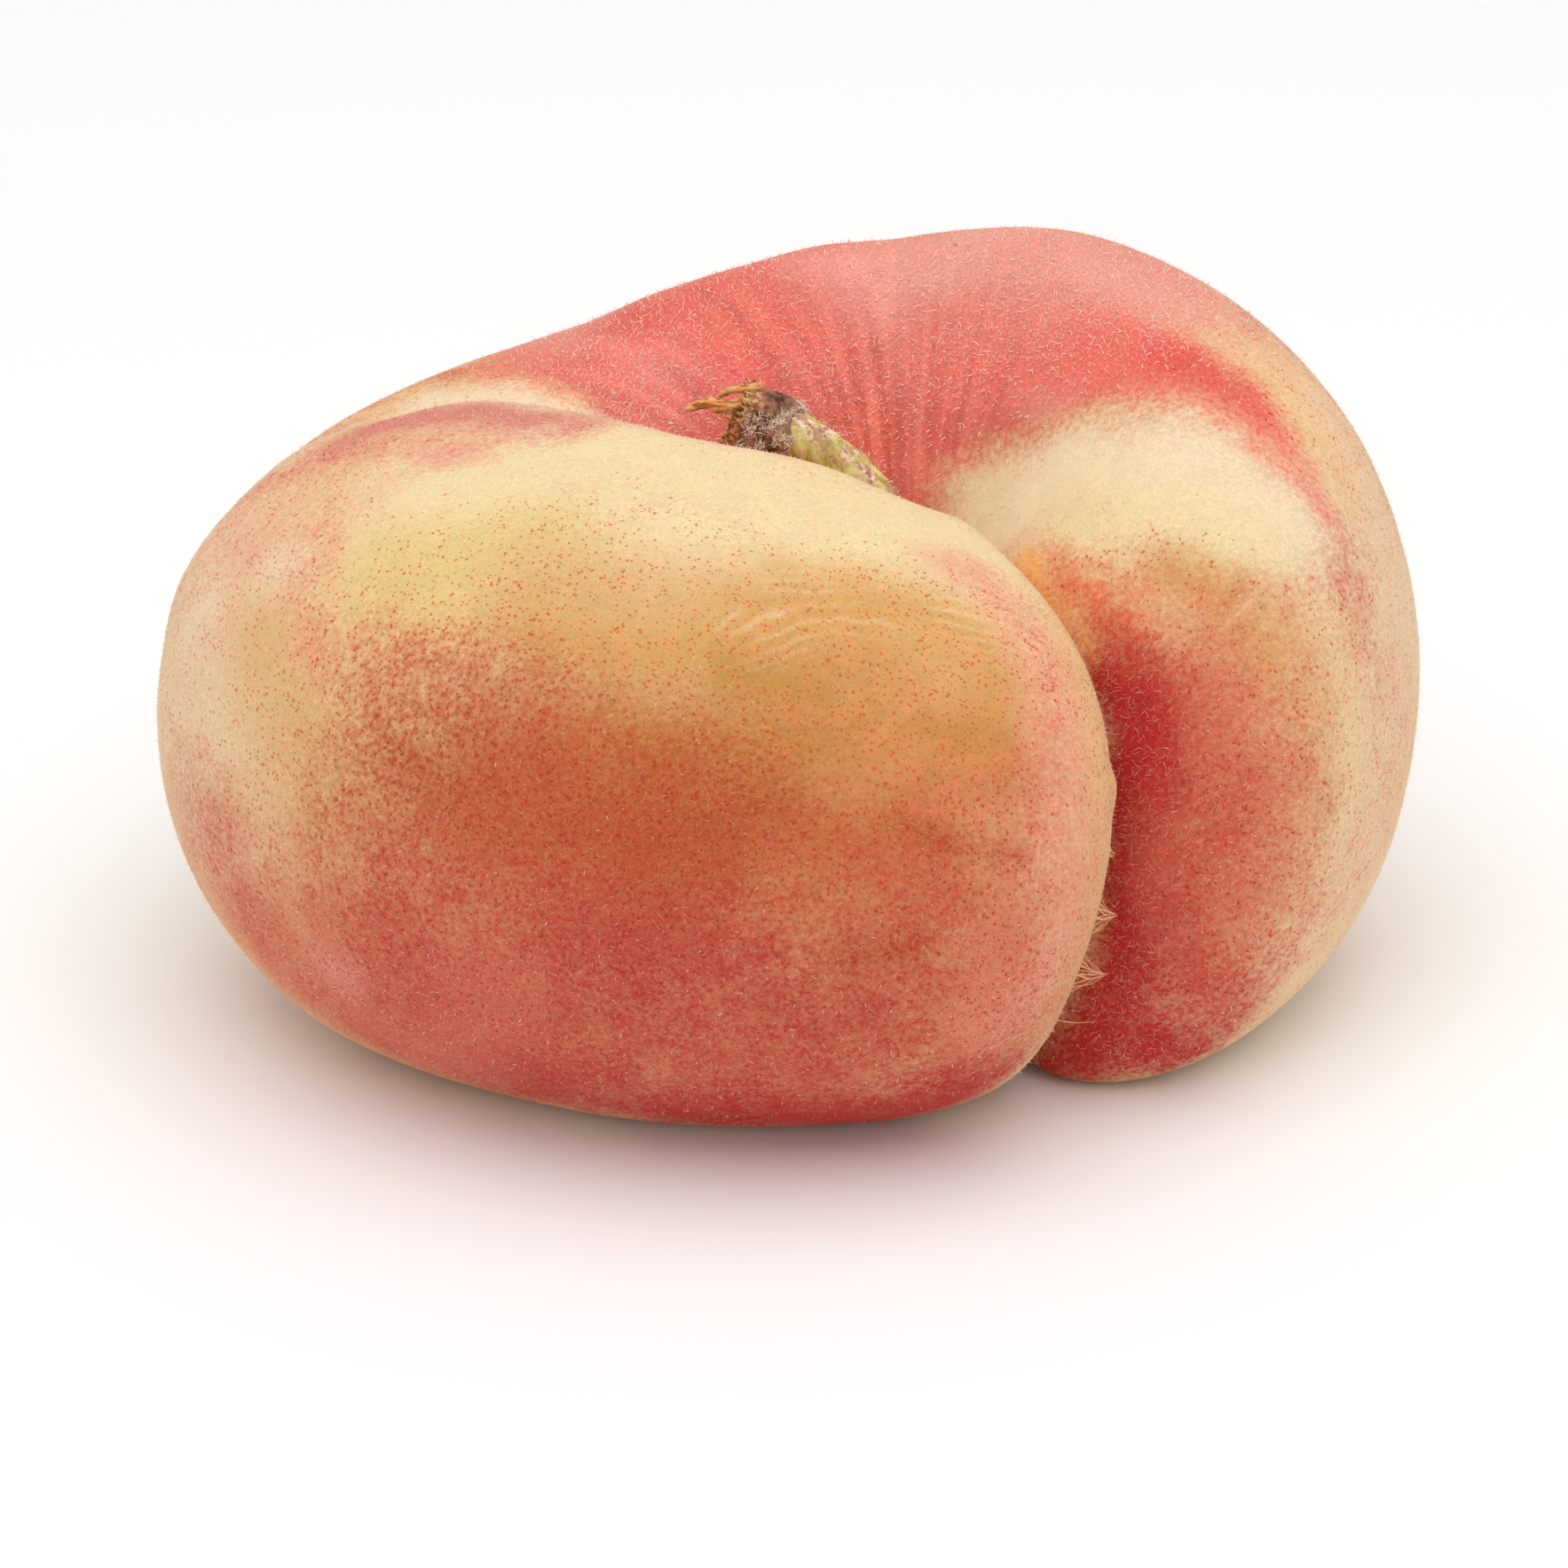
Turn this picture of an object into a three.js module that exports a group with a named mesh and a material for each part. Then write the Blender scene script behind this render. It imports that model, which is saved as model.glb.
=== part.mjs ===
import * as THREE from 'three'

// A flat (doughnut) peach that lies on its base, with its short stalk and the scrap of twig torn off with it.
// Millimetres, +Z up, standing on z = 0 with the middle of its plan at x = 0, y = 0. The fruit is a ring of flesh
// round the stalk's axis. A deep suture cleft cuts the ring at the front right, and the front cheek hangs over it.

// Driving dimensions of the fruit. The stalk's seat is the small round floor of the cavity. The cavity flares from
// it to the crest: at a flare of 1 its wall is steepest at the seat, and a higher flare gives it a flatter floor.
const AXIS = new THREE.Vector2(7, 3)
const SEAT = { radius: 2.4, height: 24 }
const CAVITY_FLARE = 1.1
const BASE_DIMPLE = 6
const FLOOR = 0

// The ring of flesh. turn is in degrees round the axis, clockwise from above, from the cleft's front side (0) to
// its right side (360). reach and belly say how far out and how high the cheek stands out most, rim and crest say
// the same of its top, and foot and sole of its underside. Where the sole is below the floor, it rests flat on it.
const RING = [
  { turn: 0, reach: 35, belly: 15, rim: 11, crest: 33.2, foot: 18.5, sole: 0.3 },
  { turn: 30, reach: 36, belly: 17, rim: 12, crest: 35.9, foot: 20, sole: -0.8 },
  { turn: 70, reach: 42.5, belly: 18, rim: 15, crest: 39.7, foot: 27, sole: -0.6 },
  { turn: 105, reach: 48.3, belly: 18.5, rim: 22.5, crest: 40.3, foot: 34, sole: -0.2 },
  { turn: 132, reach: 47, belly: 19, rim: 25.5, crest: 37.5, foot: 31, sole: 1 },
  { turn: 160, reach: 39, belly: 21, rim: 22, crest: 38, foot: 22, sole: 1.5 },
  { turn: 190, reach: 32, belly: 21, rim: 18, crest: 41.2, foot: 17, sole: 0 },
  { turn: 220, reach: 29.5, belly: 22, rim: 15, crest: 44, foot: 16, sole: -0.6 },
  { turn: 255, reach: 31.7, belly: 21, rim: 14, crest: 45.5, foot: 19, sole: -0.2 },
  { turn: 300, reach: 33, belly: 20, rim: 17, crest: 42.5, foot: 21.5, sole: 0 },
  { turn: 335, reach: 32.5, belly: 18, rim: 19, crest: 38.5, foot: 21.5, sole: -0.6 },
  { turn: 360, reach: 32, belly: 17, rim: 18, crest: 35, foot: 23, sole: -0.6 },
]

// The bottom of the cleft, which both ends of the ring fall back to. Each end curves into it over so many degrees,
// first the top of the cheek and then its side. The cleft leans: its foot lies further round to the front.
const CREASE = { reach: 19, belly: 16, rim: 11, crest: 28, foot: 18, sole: 1.5 }
const TOP_ENDS = { front: 25, right: 36 }
const SIDE_ENDS = { front: 26, right: 24 }
const CREASE_AZIMUTH = { foot: -69, top: -47 }
const CREASE_HEIGHT = 44

// The stalk's middle line, from the seat in the cavity to the scrap of twig, and that of the scrap
const GAP = 0.3
const STALK_LINE = [[7, 3, 24.6], [6.4, 3.1, 28.3], [4.7, 3.5, 31.8], [2.3, 4, 34.1], [-0.4, 4.5, 35.7]]
const STALK_RADIUS = { base: 1.7, waist: 1.2, top: 1.4 }
const SCRAP_END = [-3.9, 4.9, 37.3]
const SCRAP_RADIUS = 2
const LONG_STRIP_LINE = [[-4.6, 4.4, 37.9], [-5.5, 4.3, 37.7], [-6.4, 4.3, 37.9], [-7.3, 4.3, 37.6]]
const SHORT_STRIP_LINE = [[-3.2, 4.8, 39.5], [-4, 4.8, 39.4], [-4.8, 4.8, 39], [-5.3, 4.8, 38.5]]
const STRIP = { width: 0.8, thickness: 0.3 }

// Mesh steps
const END_STEPS = 8
const RING_STEPS = 60
const ROWS = { cavity: 11, shoulder: 10, cheek: 9, sole: 8 }
const QUARTER = 0.5 * Math.PI

const lerp = THREE.MathUtils.lerp
const radians = THREE.MathUtils.degToRad
const vector = ([x, y, z]) => new THREE.Vector3(x, y, z)

// A closed skin over rings of points, all of one count, with a single point at each end.
function closedLoft(first, rings, last) {
  const count = rings[0].length
  const points = [first, ...rings.flat(), last]
  const at = (ring, step) => 1 + ring * count + step % count
  const index = []
  for (let step = 0; step < count; step += 1) {
    index.push(0, at(0, step + 1), at(0, step))
    for (let ring = 0; ring < rings.length - 1; ring += 1) {
      const [a, b] = [at(ring, step), at(ring, step + 1)]
      const [c, d] = [at(ring + 1, step + 1), at(ring + 1, step)]
      index.push(a, b, c, a, c, d)
    }
    index.push(points.length - 1, at(rings.length - 1, step), at(rings.length - 1, step + 1))
  }
  const geometry = new THREE.BufferGeometry()
  geometry.setAttribute('position', new THREE.Float32BufferAttribute(points.flatMap((p) => p.toArray()), 3))
  geometry.setIndex(index)
  geometry.computeVertexNormals()
  return geometry
}

function piece(name, geometry, color, roughness) {
  const mesh = new THREE.Mesh(geometry, new THREE.MeshStandardMaterial({ color, roughness, metalness: 0 }))
  mesh.name = name
  return mesh
}

// The value of one key of the ring at a turn: a smooth curve through the stations.
function ringValue(key, turn) {
  const i = Math.max(RING.findIndex((station) => station.turn >= turn) - 1, 0)
  const [from, to] = [RING[i], RING[i + 1]]
  const before = RING[i - 1] ?? from
  const after = RING[i + 2] ?? to
  const span = to.turn - from.turn
  const t = (turn - from.turn) / span
  const leave = span * (to[key] - before[key]) / (to.turn - before.turn)
  const arrive = span * (after[key] - from[key]) / (after.turn - from.turn)
  const ease = t * t * (3 - 2 * t)
  return lerp(from[key], to[key], ease) + t * (1 - t) * ((1 - t) * leave - t * arrive)
}

// How full the ring is at a turn: 0 in the crease, rising like a quarter of a circle to 1 past its end.
function fullness(turn, ends) {
  const into = turn < 180 ? turn / ends.front : (360 - turn) / ends.right
  return into < 1 ? Math.sqrt(1 - (1 - into) ** 2) : 1
}

function sectionAt(turn) {
  const top = fullness(turn, TOP_ENDS)
  const side = fullness(turn, SIDE_ENDS)
  const value = (key, full) => lerp(CREASE[key], ringValue(key, turn), full)
  return {
    rim: value('rim', top),
    crest: value('crest', top),
    reach: value('reach', side),
    belly: value('belly', side),
    foot: value('foot', side),
    sole: value('sole', side),
  }
}

// One section of the skin, from the seat up to the crest, out over the shoulder, down the cheek and in under the
// sole, as [distance from the axis, height] pairs.
function meridian(section) {
  const { rim, crest, reach, belly, foot, sole } = section
  const pairs = []
  for (let i = 0; i <= ROWS.cavity; i += 1) {
    const t = i / ROWS.cavity
    pairs.push([lerp(SEAT.radius, rim, t), lerp(SEAT.height, crest, 1 - (1 - t ** CAVITY_FLARE) ** 2)])
  }
  for (let i = 1; i <= ROWS.shoulder; i += 1) {
    const angle = QUARTER * i / ROWS.shoulder
    pairs.push([lerp(rim, reach, Math.sin(angle)), lerp(belly, crest, Math.cos(angle))])
  }
  for (let i = 1; i <= ROWS.cheek; i += 1) {
    const angle = QUARTER * i / ROWS.cheek
    pairs.push([lerp(foot, reach, Math.cos(angle)), lerp(belly, sole, Math.sin(angle))])
  }
  for (let i = 1; i < ROWS.sole; i += 1) {
    const t = 1 - i / ROWS.sole
    pairs.push([foot * t, lerp(sole, BASE_DIMPLE, (1 - t ** 2) ** 2)])
  }
  return pairs
}

// The turns of the sections: close together where the two ends of the ring curve into the crease.
function sectionTurns() {
  const into = (end, i) => end * (1 - Math.cos(QUARTER * i / END_STEPS))
  const turns = []
  for (let i = 0; i <= END_STEPS; i += 1) turns.push(into(SIDE_ENDS.front, i))
  for (let i = 1; i < RING_STEPS; i += 1) turns.push(lerp(SIDE_ENDS.front, 360 - SIDE_ENDS.right, i / RING_STEPS))
  for (let i = END_STEPS; i >= 1; i -= 1) turns.push(360 - into(SIDE_ENDS.right, i))
  return turns
}

// A point of the skin. Near the crease the section is swung round the axis with the height, so the cleft leans.
function skinPoint(turn, [out, height]) {
  const near = (0.5 + 0.5 * Math.cos(radians(turn))) ** 2
  const middle = 0.5 * (CREASE_AZIMUTH.foot + CREASE_AZIMUTH.top)
  const swing = (CREASE_AZIMUTH.top - CREASE_AZIMUTH.foot) * (height / CREASE_HEIGHT - 0.5)
  const azimuth = radians(middle + swing * near - turn)
  const x = AXIS.x + out * Math.cos(azimuth)
  const y = AXIS.y + out * Math.sin(azimuth)
  return new THREE.Vector3(x, y, Math.max(height, FLOOR))
}

function makeFruit() {
  const turns = sectionTurns()
  const sections = turns.map((turn) => meridian(sectionAt(turn)))
  const rings = sections[0].map((_, row) => turns.map((turn, i) => skinPoint(turn, sections[i][row])))
  const seat = new THREE.Vector3(AXIS.x, AXIS.y, SEAT.height)
  const dimple = new THREE.Vector3(AXIS.x, AXIS.y, BASE_DIMPLE)
  return piece('fruit', closedLoft(seat, rings, dimple), 0xe08a62, 0.8)
}

// Rings along a curve. out(along, angle) is a ring's distance from the curve at that angle.
function sweptRings(curve, steps, sides, out) {
  const frames = curve.computeFrenetFrames(steps)
  return Array.from({ length: steps + 1 }, (_, i) => Array.from({ length: sides }, (__, k) => {
    const angle = 4 * QUARTER * k / sides
    const distance = out(i / steps, angle)
    const point = curve.getPointAt(i / steps)
    point.addScaledVector(frames.normals[i], distance * Math.cos(angle))
    return point.addScaledVector(frames.binormals[i], distance * Math.sin(angle))
  }))
}

// The green stalk: thick where it leaves the fruit, thinner at its waist, and ridged all along.
function makeStalk() {
  const curve = new THREE.CatmullRomCurve3(STALK_LINE.map(vector))
  const rings = sweptRings(curve, 16, 14, (along, angle) => {
    const { base, waist, top } = STALK_RADIUS
    const radius = lerp(lerp(base, waist, Math.min(along * 3, 1)), top, along ** 3)
    return radius * (1 + 0.05 * Math.cos(3 * angle + 4 * along))
  })
  return piece('stalk', closedLoft(curve.getPointAt(0), rings, curve.getPointAt(1)), 0xb9bf6a, 0.7)
}

// The scrap of twig: a knobbly woody lump whose torn end is hollow.
function makeTwigScrap() {
  const stalkTop = vector(STALK_LINE.at(-1))
  const tornEnd = vector(SCRAP_END)
  const direction = tornEnd.clone().sub(stalkTop).normalize()
  const curve = new THREE.LineCurve3(stalkTop.addScaledVector(direction, GAP), tornEnd)
  const outside = sweptRings(curve, 8, 14, (along, angle) => {
    const swell = lerp(0.65, 1, Math.sin(QUARTER * Math.min(2 * along, 1)))
    return SCRAP_RADIUS * swell * (1 + 0.09 * Math.cos(3 * angle + 5 * along) - 0.15 * along ** 4)
  })
  const hollow = [0.6, 0.35].map((size, i) => {
    const middle = tornEnd.clone().addScaledVector(direction, -0.6 - 0.6 * i)
    return outside.at(-1).map((point) => middle.clone().add(point.clone().sub(tornEnd).multiplyScalar(size)))
  })
  const bottom = tornEnd.clone().addScaledVector(direction, -1.4)
  return piece('twig_scrap', closedLoft(curve.getPointAt(0), [...outside, ...hollow], bottom), 0x6b4a3c, 0.9)
}

// A torn strip of bark: a flat section along a bent line, narrowing to its tip.
function makeStrip(name, line) {
  const curve = new THREE.CatmullRomCurve3(line.map(vector))
  const rings = sweptRings(curve, 8, 8, (along, angle) => {
    const taper = lerp(1, 0.35, along ** 2)
    const across = 0.5 * STRIP.width * taper
    const through = 0.5 * STRIP.thickness
    return across * through / Math.hypot(through * Math.sin(angle), across * Math.cos(angle))
  })
  return piece(name, closedLoft(curve.getPointAt(0), rings, curve.getPointAt(1)), 0xc07a3a, 0.8)
}

const group = new THREE.Group()
group.add(makeFruit())
group.add(makeStalk())
group.add(makeTwigScrap())
group.add(makeStrip('bark_strip_long', LONG_STRIP_LINE))
group.add(makeStrip('bark_strip_short', SHORT_STRIP_LINE))

// Bring the middle of the plan to the origin.
const middle = new THREE.Box3().setFromObject(group).getCenter(new THREE.Vector3())
group.position.set(-middle.x, -middle.y, 0)
export default group
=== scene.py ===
import math
import random

import bmesh
import bpy
import numpy as np
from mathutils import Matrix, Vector, noise
from mathutils.bvhtree import BVHTree


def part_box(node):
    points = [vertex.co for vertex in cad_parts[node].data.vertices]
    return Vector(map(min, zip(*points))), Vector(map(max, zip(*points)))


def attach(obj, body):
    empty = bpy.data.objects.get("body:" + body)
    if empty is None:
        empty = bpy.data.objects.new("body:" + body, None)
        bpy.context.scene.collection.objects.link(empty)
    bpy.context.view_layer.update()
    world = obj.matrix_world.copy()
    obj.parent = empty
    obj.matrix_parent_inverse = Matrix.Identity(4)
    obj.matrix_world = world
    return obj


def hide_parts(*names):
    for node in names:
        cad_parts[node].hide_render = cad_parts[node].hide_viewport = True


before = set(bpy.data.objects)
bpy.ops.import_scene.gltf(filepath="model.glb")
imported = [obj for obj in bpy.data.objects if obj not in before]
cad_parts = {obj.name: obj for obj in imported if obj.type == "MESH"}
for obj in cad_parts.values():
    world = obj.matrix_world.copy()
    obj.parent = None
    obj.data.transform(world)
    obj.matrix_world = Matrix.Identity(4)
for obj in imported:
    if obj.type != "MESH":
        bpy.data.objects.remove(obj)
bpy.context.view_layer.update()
scene = bpy.context.scene


# ---- The table and the light tent ----
# The fruit lies on a plain white table inside a light tent: even white light from all round, and one broad
# soft lamp above it and a little in front. None of this is part of the fruit.

class Reading:
    """The output of a node, for sums such as 1 - 0.5 * mask."""

    def __init__(self, finish, socket):
        self.finish = finish
        self.socket = socket

    def sum(self, operation, first, second):
        return self.finish.node("ShaderNodeMath", {"operation": operation}, {0: first, 1: second})

    def __add__(self, other):
        return self.sum("ADD", self, other)

    def __sub__(self, other):
        return self.sum("SUBTRACT", self, other)

    def __rsub__(self, other):
        return self.sum("SUBTRACT", other, self)

    def __mul__(self, other):
        return self.sum("MULTIPLY", self, other)

    __radd__ = __add__
    __rmul__ = __mul__

    def step(self, low, high):
        """0 below low, 1 above high, and smooth between them."""
        return self.finish.node("ShaderNodeMapRange", {"interpolation_type": "SMOOTHSTEP"},
                                {"Value": self, "From Min": low, "From Max": high})

    def held(self):
        """This value, kept between 0 and 1."""
        return self.finish.node("ShaderNodeClamp", {}, {"Value": self})

    def between(self, first, second):
        """The first colour where this is 0, and the second where it is 1."""
        mix = {0: self, 6: first, 7: second}
        return self.finish.node("ShaderNodeMix", {"data_type": "RGBA"}, mix, 2)


class Finish:
    """A material built from nodes, round its own surface shader."""

    def __init__(self, name, **settings):
        self.material = bpy.data.materials.new(name)
        self.material.use_nodes = True
        self.tree = self.material.node_tree
        self.surface = self.tree.nodes["Principled BSDF"]
        self.set(**settings)

    def set(self, **settings):
        """Feeds or sets the surface shader's sockets, with _ for the spaces in their names."""
        for socket, value in settings.items():
            self.feed(self.surface.inputs[socket.replace("_", " ")], value)

    def feed(self, socket, value):
        if isinstance(value, Reading):
            self.tree.links.new(value.socket, socket)
        elif socket.type == "RGBA":
            socket.default_value = (*value, 1)
        else:
            socket.default_value = value

    def node(self, kind, settings, inputs, output=0):
        made = self.tree.nodes.new(kind)
        for name, value in settings.items():
            setattr(made, name, value)
        for name, value in inputs.items():
            self.feed(made.inputs[name], value)
        return Reading(self, made.outputs[output])

    def stored(self, name, output="Fac"):
        """A value or colour that the mesh keeps for each vertex."""
        return self.node("ShaderNodeAttribute", {"attribute_name": name}, {}, output)

    def place(self):
        """The place in the fruit's own frame, in metres."""
        return self.node("ShaderNodeTexCoord", {}, {}, "Object")

    def clouds(self, size, detail=2.0, stretch=(1, 1, 1), output="Fac"):
        """Soft random shades, 0 to 1, that change over about size. A low stretch draws them out one way."""
        place = self.node("ShaderNodeVectorMath", {"operation": "MULTIPLY"}, {0: self.place(), 1: stretch})
        inputs = {"Vector": place, "Scale": 1 / size, "Detail": detail}
        return self.node("ShaderNodeTexNoise", {}, inputs, output)

    def shaded(self, colour, share):
        """A colour made lighter or darker by a share."""
        return self.node("ShaderNodeVectorMath", {"operation": "SCALE"}, {0: colour, "Scale": share})

    def cells(self, place, size, output="Distance"):
        """How far a place is from the middle of a random cell, in cells, or the cell's random colour."""
        return self.node("ShaderNodeTexVoronoi", {}, {"Vector": place, "Scale": 1 / size}, output)

    def relief(self, shade, depth, strength=1.0):
        """A surface direction that rises by depth where shade goes from 0 to 1."""
        return self.node("ShaderNodeBump", {}, {"Strength": strength, "Distance": depth, "Height": shade})


def stand(name, data):
    """Puts a new object into the scene, at the origin."""
    thing = bpy.data.objects.new(name, data)
    scene.collection.objects.link(thing)
    return thing


def soft_lamp(name, place, target, width, power):
    """A square softbox that faces a target."""
    lamp = bpy.data.lights.new(name, "AREA")
    lamp.shape = "SQUARE"
    lamp.size = width
    lamp.energy = power
    holder = stand(name, lamp)
    holder.location = place
    holder.rotation_euler = (target - place).to_track_quat("-Z", "Y").to_euler()


table_size = 6.0
table_mesh = bmesh.new()
bmesh.ops.create_grid(table_mesh, x_segments=1, y_segments=1, size=table_size / 2)
table_top = bpy.data.meshes.new("table_top")
table_mesh.to_mesh(table_top)
table_mesh.free()
table_white = (0.96, 0.955, 0.95)
table_top.materials.append(
    Finish("white_table", Base_Color=table_white, Roughness=0.9, Specular_IOR_Level=0.1).material)
stand("table_top", table_top)

tent_white, tent_brightness = (1, 1, 1, 1), 0.68
tent = bpy.data.worlds.new("light_tent")
tent.use_nodes = True
tent.node_tree.nodes["Background"].inputs["Color"].default_value = tent_white
tent.node_tree.nodes["Background"].inputs["Strength"].default_value = tent_brightness
scene.world = tent

fruit_low, fruit_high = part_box("fruit")
fruit_middle = (fruit_low + fruit_high) / 2
softbox_place, softbox_width, softbox_power = Vector((0.02, -0.16, 0.7)), 0.8, 3.0
soft_lamp("overhead_softbox", softbox_place, fruit_middle, softbox_width, softbox_power)

look_down = math.radians(25)
stand_off = 0.45
aim = Vector((-0.0003, 0.0004, 0.0133))
lens_length, sensor_width = 160, 36
camera = stand("camera", bpy.data.cameras.new("camera"))
camera.data.lens = lens_length
camera.data.sensor_width = sensor_width
camera.location = aim + stand_off * Vector((0, -math.cos(look_down), math.sin(look_down)))
camera.rotation_euler = (math.radians(90) - look_down, 0, 0)
scene.camera = camera
scene.view_settings.view_transform = "Standard"


# ---- The fruit ----
# One whole flat peach: thin downy skin over flesh that grew round the stalk as a lopsided ring. The suture
# cleft runs from the cavity down the front right. Where the ripe flesh has slackened, the skin is wrinkled.

def smooth_step(amount):
    """0 below 0, 1 above 1, and a soft S between them."""
    held = np.clip(amount, 0, 1)
    return held * held * (3 - 2 * held)


def grown_noise(points, size, seed):
    """One smooth random value, about -1 to 1, for each point. It changes over lengths of about size."""
    shift = Vector((seed * 7.3, seed * 3.1, seed * 5.7))
    return np.array([noise.noise(Vector(point) / size + shift) for point in points])


def layered(points, *layers):
    """The sum of some random values, each given by its size, how much of it there is, and its seed."""
    return sum(amount * grown_noise(points, size, seed) for size, amount, seed in layers)


def quad_skin(node, name, rounds):
    """A copy of a CAD node's mesh, joined up into four-sided faces and rounded by subdivision."""
    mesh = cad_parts[node].data.copy()
    work = bmesh.new()
    work.from_mesh(mesh)
    same_place, near_flat, any_shape = 1e-6, math.radians(60), math.pi
    bmesh.ops.remove_doubles(work, verts=work.verts, dist=same_place)
    bmesh.ops.join_triangles(work, faces=work.faces, angle_face_threshold=near_flat,
                             angle_shape_threshold=any_shape)
    work.to_mesh(mesh)
    work.free()
    piece = stand(name, mesh)
    rounding = piece.modifiers.new("rounding", "SUBSURF")
    rounding.levels = rounding.render_levels = rounds
    bpy.context.view_layer.update()
    rounded = bpy.data.meshes.new_from_object(piece.evaluated_get(bpy.context.evaluated_depsgraph_get()))
    piece.modifiers.remove(rounding)
    piece.data = rounded
    return piece


def mesh_points(mesh):
    """The mesh's vertex places and normals, one row each."""
    places = np.empty(len(mesh.vertices) * 3)
    mesh.vertices.foreach_get("co", places)
    normals = np.empty(len(mesh.vertices) * 3)
    mesh.vertices.foreach_get("normal", normals)
    return places.reshape(-1, 3), normals.reshape(-1, 3)


def reshape(piece, points):
    """Moves a piece's vertices to new places, one row each."""
    piece.data.vertices.foreach_set("co", np.ravel(points))
    piece.data.update()


def split_finer(mesh, chosen, true_skin):
    """Splits each face whose corners are all chosen into four, and lays the new corners on the true skin."""
    work = bmesh.new()
    work.from_mesh(mesh)
    first_new = len(work.verts)
    edges = {edge for face in work.faces if all(chosen[corner.index] for corner in face.verts)
             for edge in face.edges}
    bmesh.ops.subdivide_edges(work, edges=list(edges), cuts=1, use_grid_fill=True)
    work.verts.ensure_lookup_table()
    for corner in work.verts[first_new:]:
        corner.co = true_skin.find_nearest(corner.co)[0]
    work.to_mesh(mesh)
    work.free()


# Places on the skin are in percent: from the middle of the fruit's box to its sides, and up its height.
# Widths are in percent of half its width.
half_width = (fruit_high.x - fruit_low.x) / 2
half_depth = (fruit_high.y - fruit_low.y) / 2
height = fruit_high.z - fruit_low.z


def on_fruit(percents):
    """Rows of percents as places in metres."""
    spans, start = (half_width, half_depth, height), (fruit_middle.x, fruit_middle.y, 0)
    return np.array(percents, float) / 100 * spans + start


class Skin:
    """The places on a mesh, and how strongly a stroke along a line of points lies on each of them."""

    def __init__(self, mesh, waver=0.0):
        """A waver lets the edges of the strokes wander by about so much."""
        self.places, self.facing = mesh_points(mesh)
        self.wavered = self.places
        if waver:
            drift = [layered(self.places, (0.011, 1, seed), (0.003, 0.4, seed + 5)) for seed in (1, 2, 3)]
            self.wavered = self.places + waver * np.stack(drift, axis=1)

    def stroke(self, line, width, softness=1.0):
        """1 along the line and 0 beyond width, on the side of the skin that the line lies on."""
        line = on_fruit(line)
        sides = np.array([self.facing[((self.places - point) ** 2).sum(1).argmin()] for point in line])
        if len(line) == 1:
            line, sides = np.vstack([line, line]), np.vstack([sides, sides])
        nearest = np.full(len(self.places), np.inf)
        agreement = np.zeros(len(self.places))
        for start, end, from_side, to_side in zip(line, line[1:], sides, sides[1:]):
            run = end - start
            length = max(run @ run, 1e-12)
            along = np.clip((self.wavered - start) @ run / length, 0, 1)[:, None]
            gap = np.linalg.norm(self.wavered - start - along * run, axis=1)
            side = from_side + along * (to_side - from_side)
            closer = gap < nearest
            nearest[closer] = gap[closer]
            agreement[closer] = (self.facing * side).sum(1)[closer]
        reach = width / 100 * half_width
        same_side = smooth_step((agreement + 0.1) / 0.4)
        return smooth_step((reach - nearest) / (softness * reach)) * same_side


peach = quad_skin("fruit", "peach", 2)
finest = quad_skin("fruit", "finest_skin", 3)
true_skin = BVHTree.FromPolygons([corner.co for corner in finest.data.vertices],
                                 [face.vertices for face in finest.data.polygons])
finest_mesh = finest.data
bpy.data.objects.remove(finest)
bpy.data.meshes.remove(finest_mesh)

# The mesh is finer where the skin is wrinkled, and in and along the cleft
wrinkle_line = [(-5, -69, 77), (8, -60, 79), (20, -53, 77), (32, -55, 72)]
band_line = [(35, -56, 71), (39, -62, 67), (41, -74, 59), (41, -83, 49), (40, -87, 38), (36, -87, 27)]
cleft_line = [(34, -4, 69), (43, -28, 65), (48, -55, 55), (51, -54, 35), (46, -56, 12)]
cavity_line = [(-10, 34, 78), (2, 36, 77), (12, 33, 74), (20, 28, 70)]
dimple_line = [(58, -30, 73), (64, -35, 71), (70, -38, 69)]
crisp = 0.1
for lines, width in (((wrinkle_line, band_line, cleft_line, cavity_line, dimple_line), 14),
                     ((wrinkle_line, dimple_line), 11)):
    rough = Skin(peach.data)
    split_finer(peach.data, sum(rough.stroke(line, width, crisp) for line in lines) > 0.5, true_skin)

base_skin = Skin(peach.data)
places, facing = base_skin.places, base_skin.facing

# Slow lumps all over, as in any flesh that grew
rise = layered(places, (0.009, 0.00010, 21), (0.0026, 0.00003, 22))

# The wrinkles of the front cheek: crescents round a point below them, broken up along their length
wrinkle_heart = on_fruit([(15, -86, 60)])[0]
wrinkle_gap, wrinkle_height = 0.00080, 0.00015
wider_than_high = (0.68, 1, 1)
from_heart = np.linalg.norm((places - wrinkle_heart) * wider_than_high, axis=1)
from_heart += layered(places, (0.006, 0.0016, 31), (0.0014, 0.00022, 38))
crosswise = (0.45, 0.45, 1.8)
broken_up = smooth_step(0.68 + layered(places * crosswise, (0.0019, 1.5, 32)))
wrinkled = base_skin.stroke(wrinkle_line, 11, 0.6) * broken_up


def crests(across, gap):
    """1 on sharp crests a gap apart, falling to 0 between them."""
    return (1 - np.abs(np.sin(math.pi * across / gap))) ** 2


wrinkles = wrinkled * crests(from_heart, wrinkle_gap)
rise += wrinkle_height * wrinkles

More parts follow.
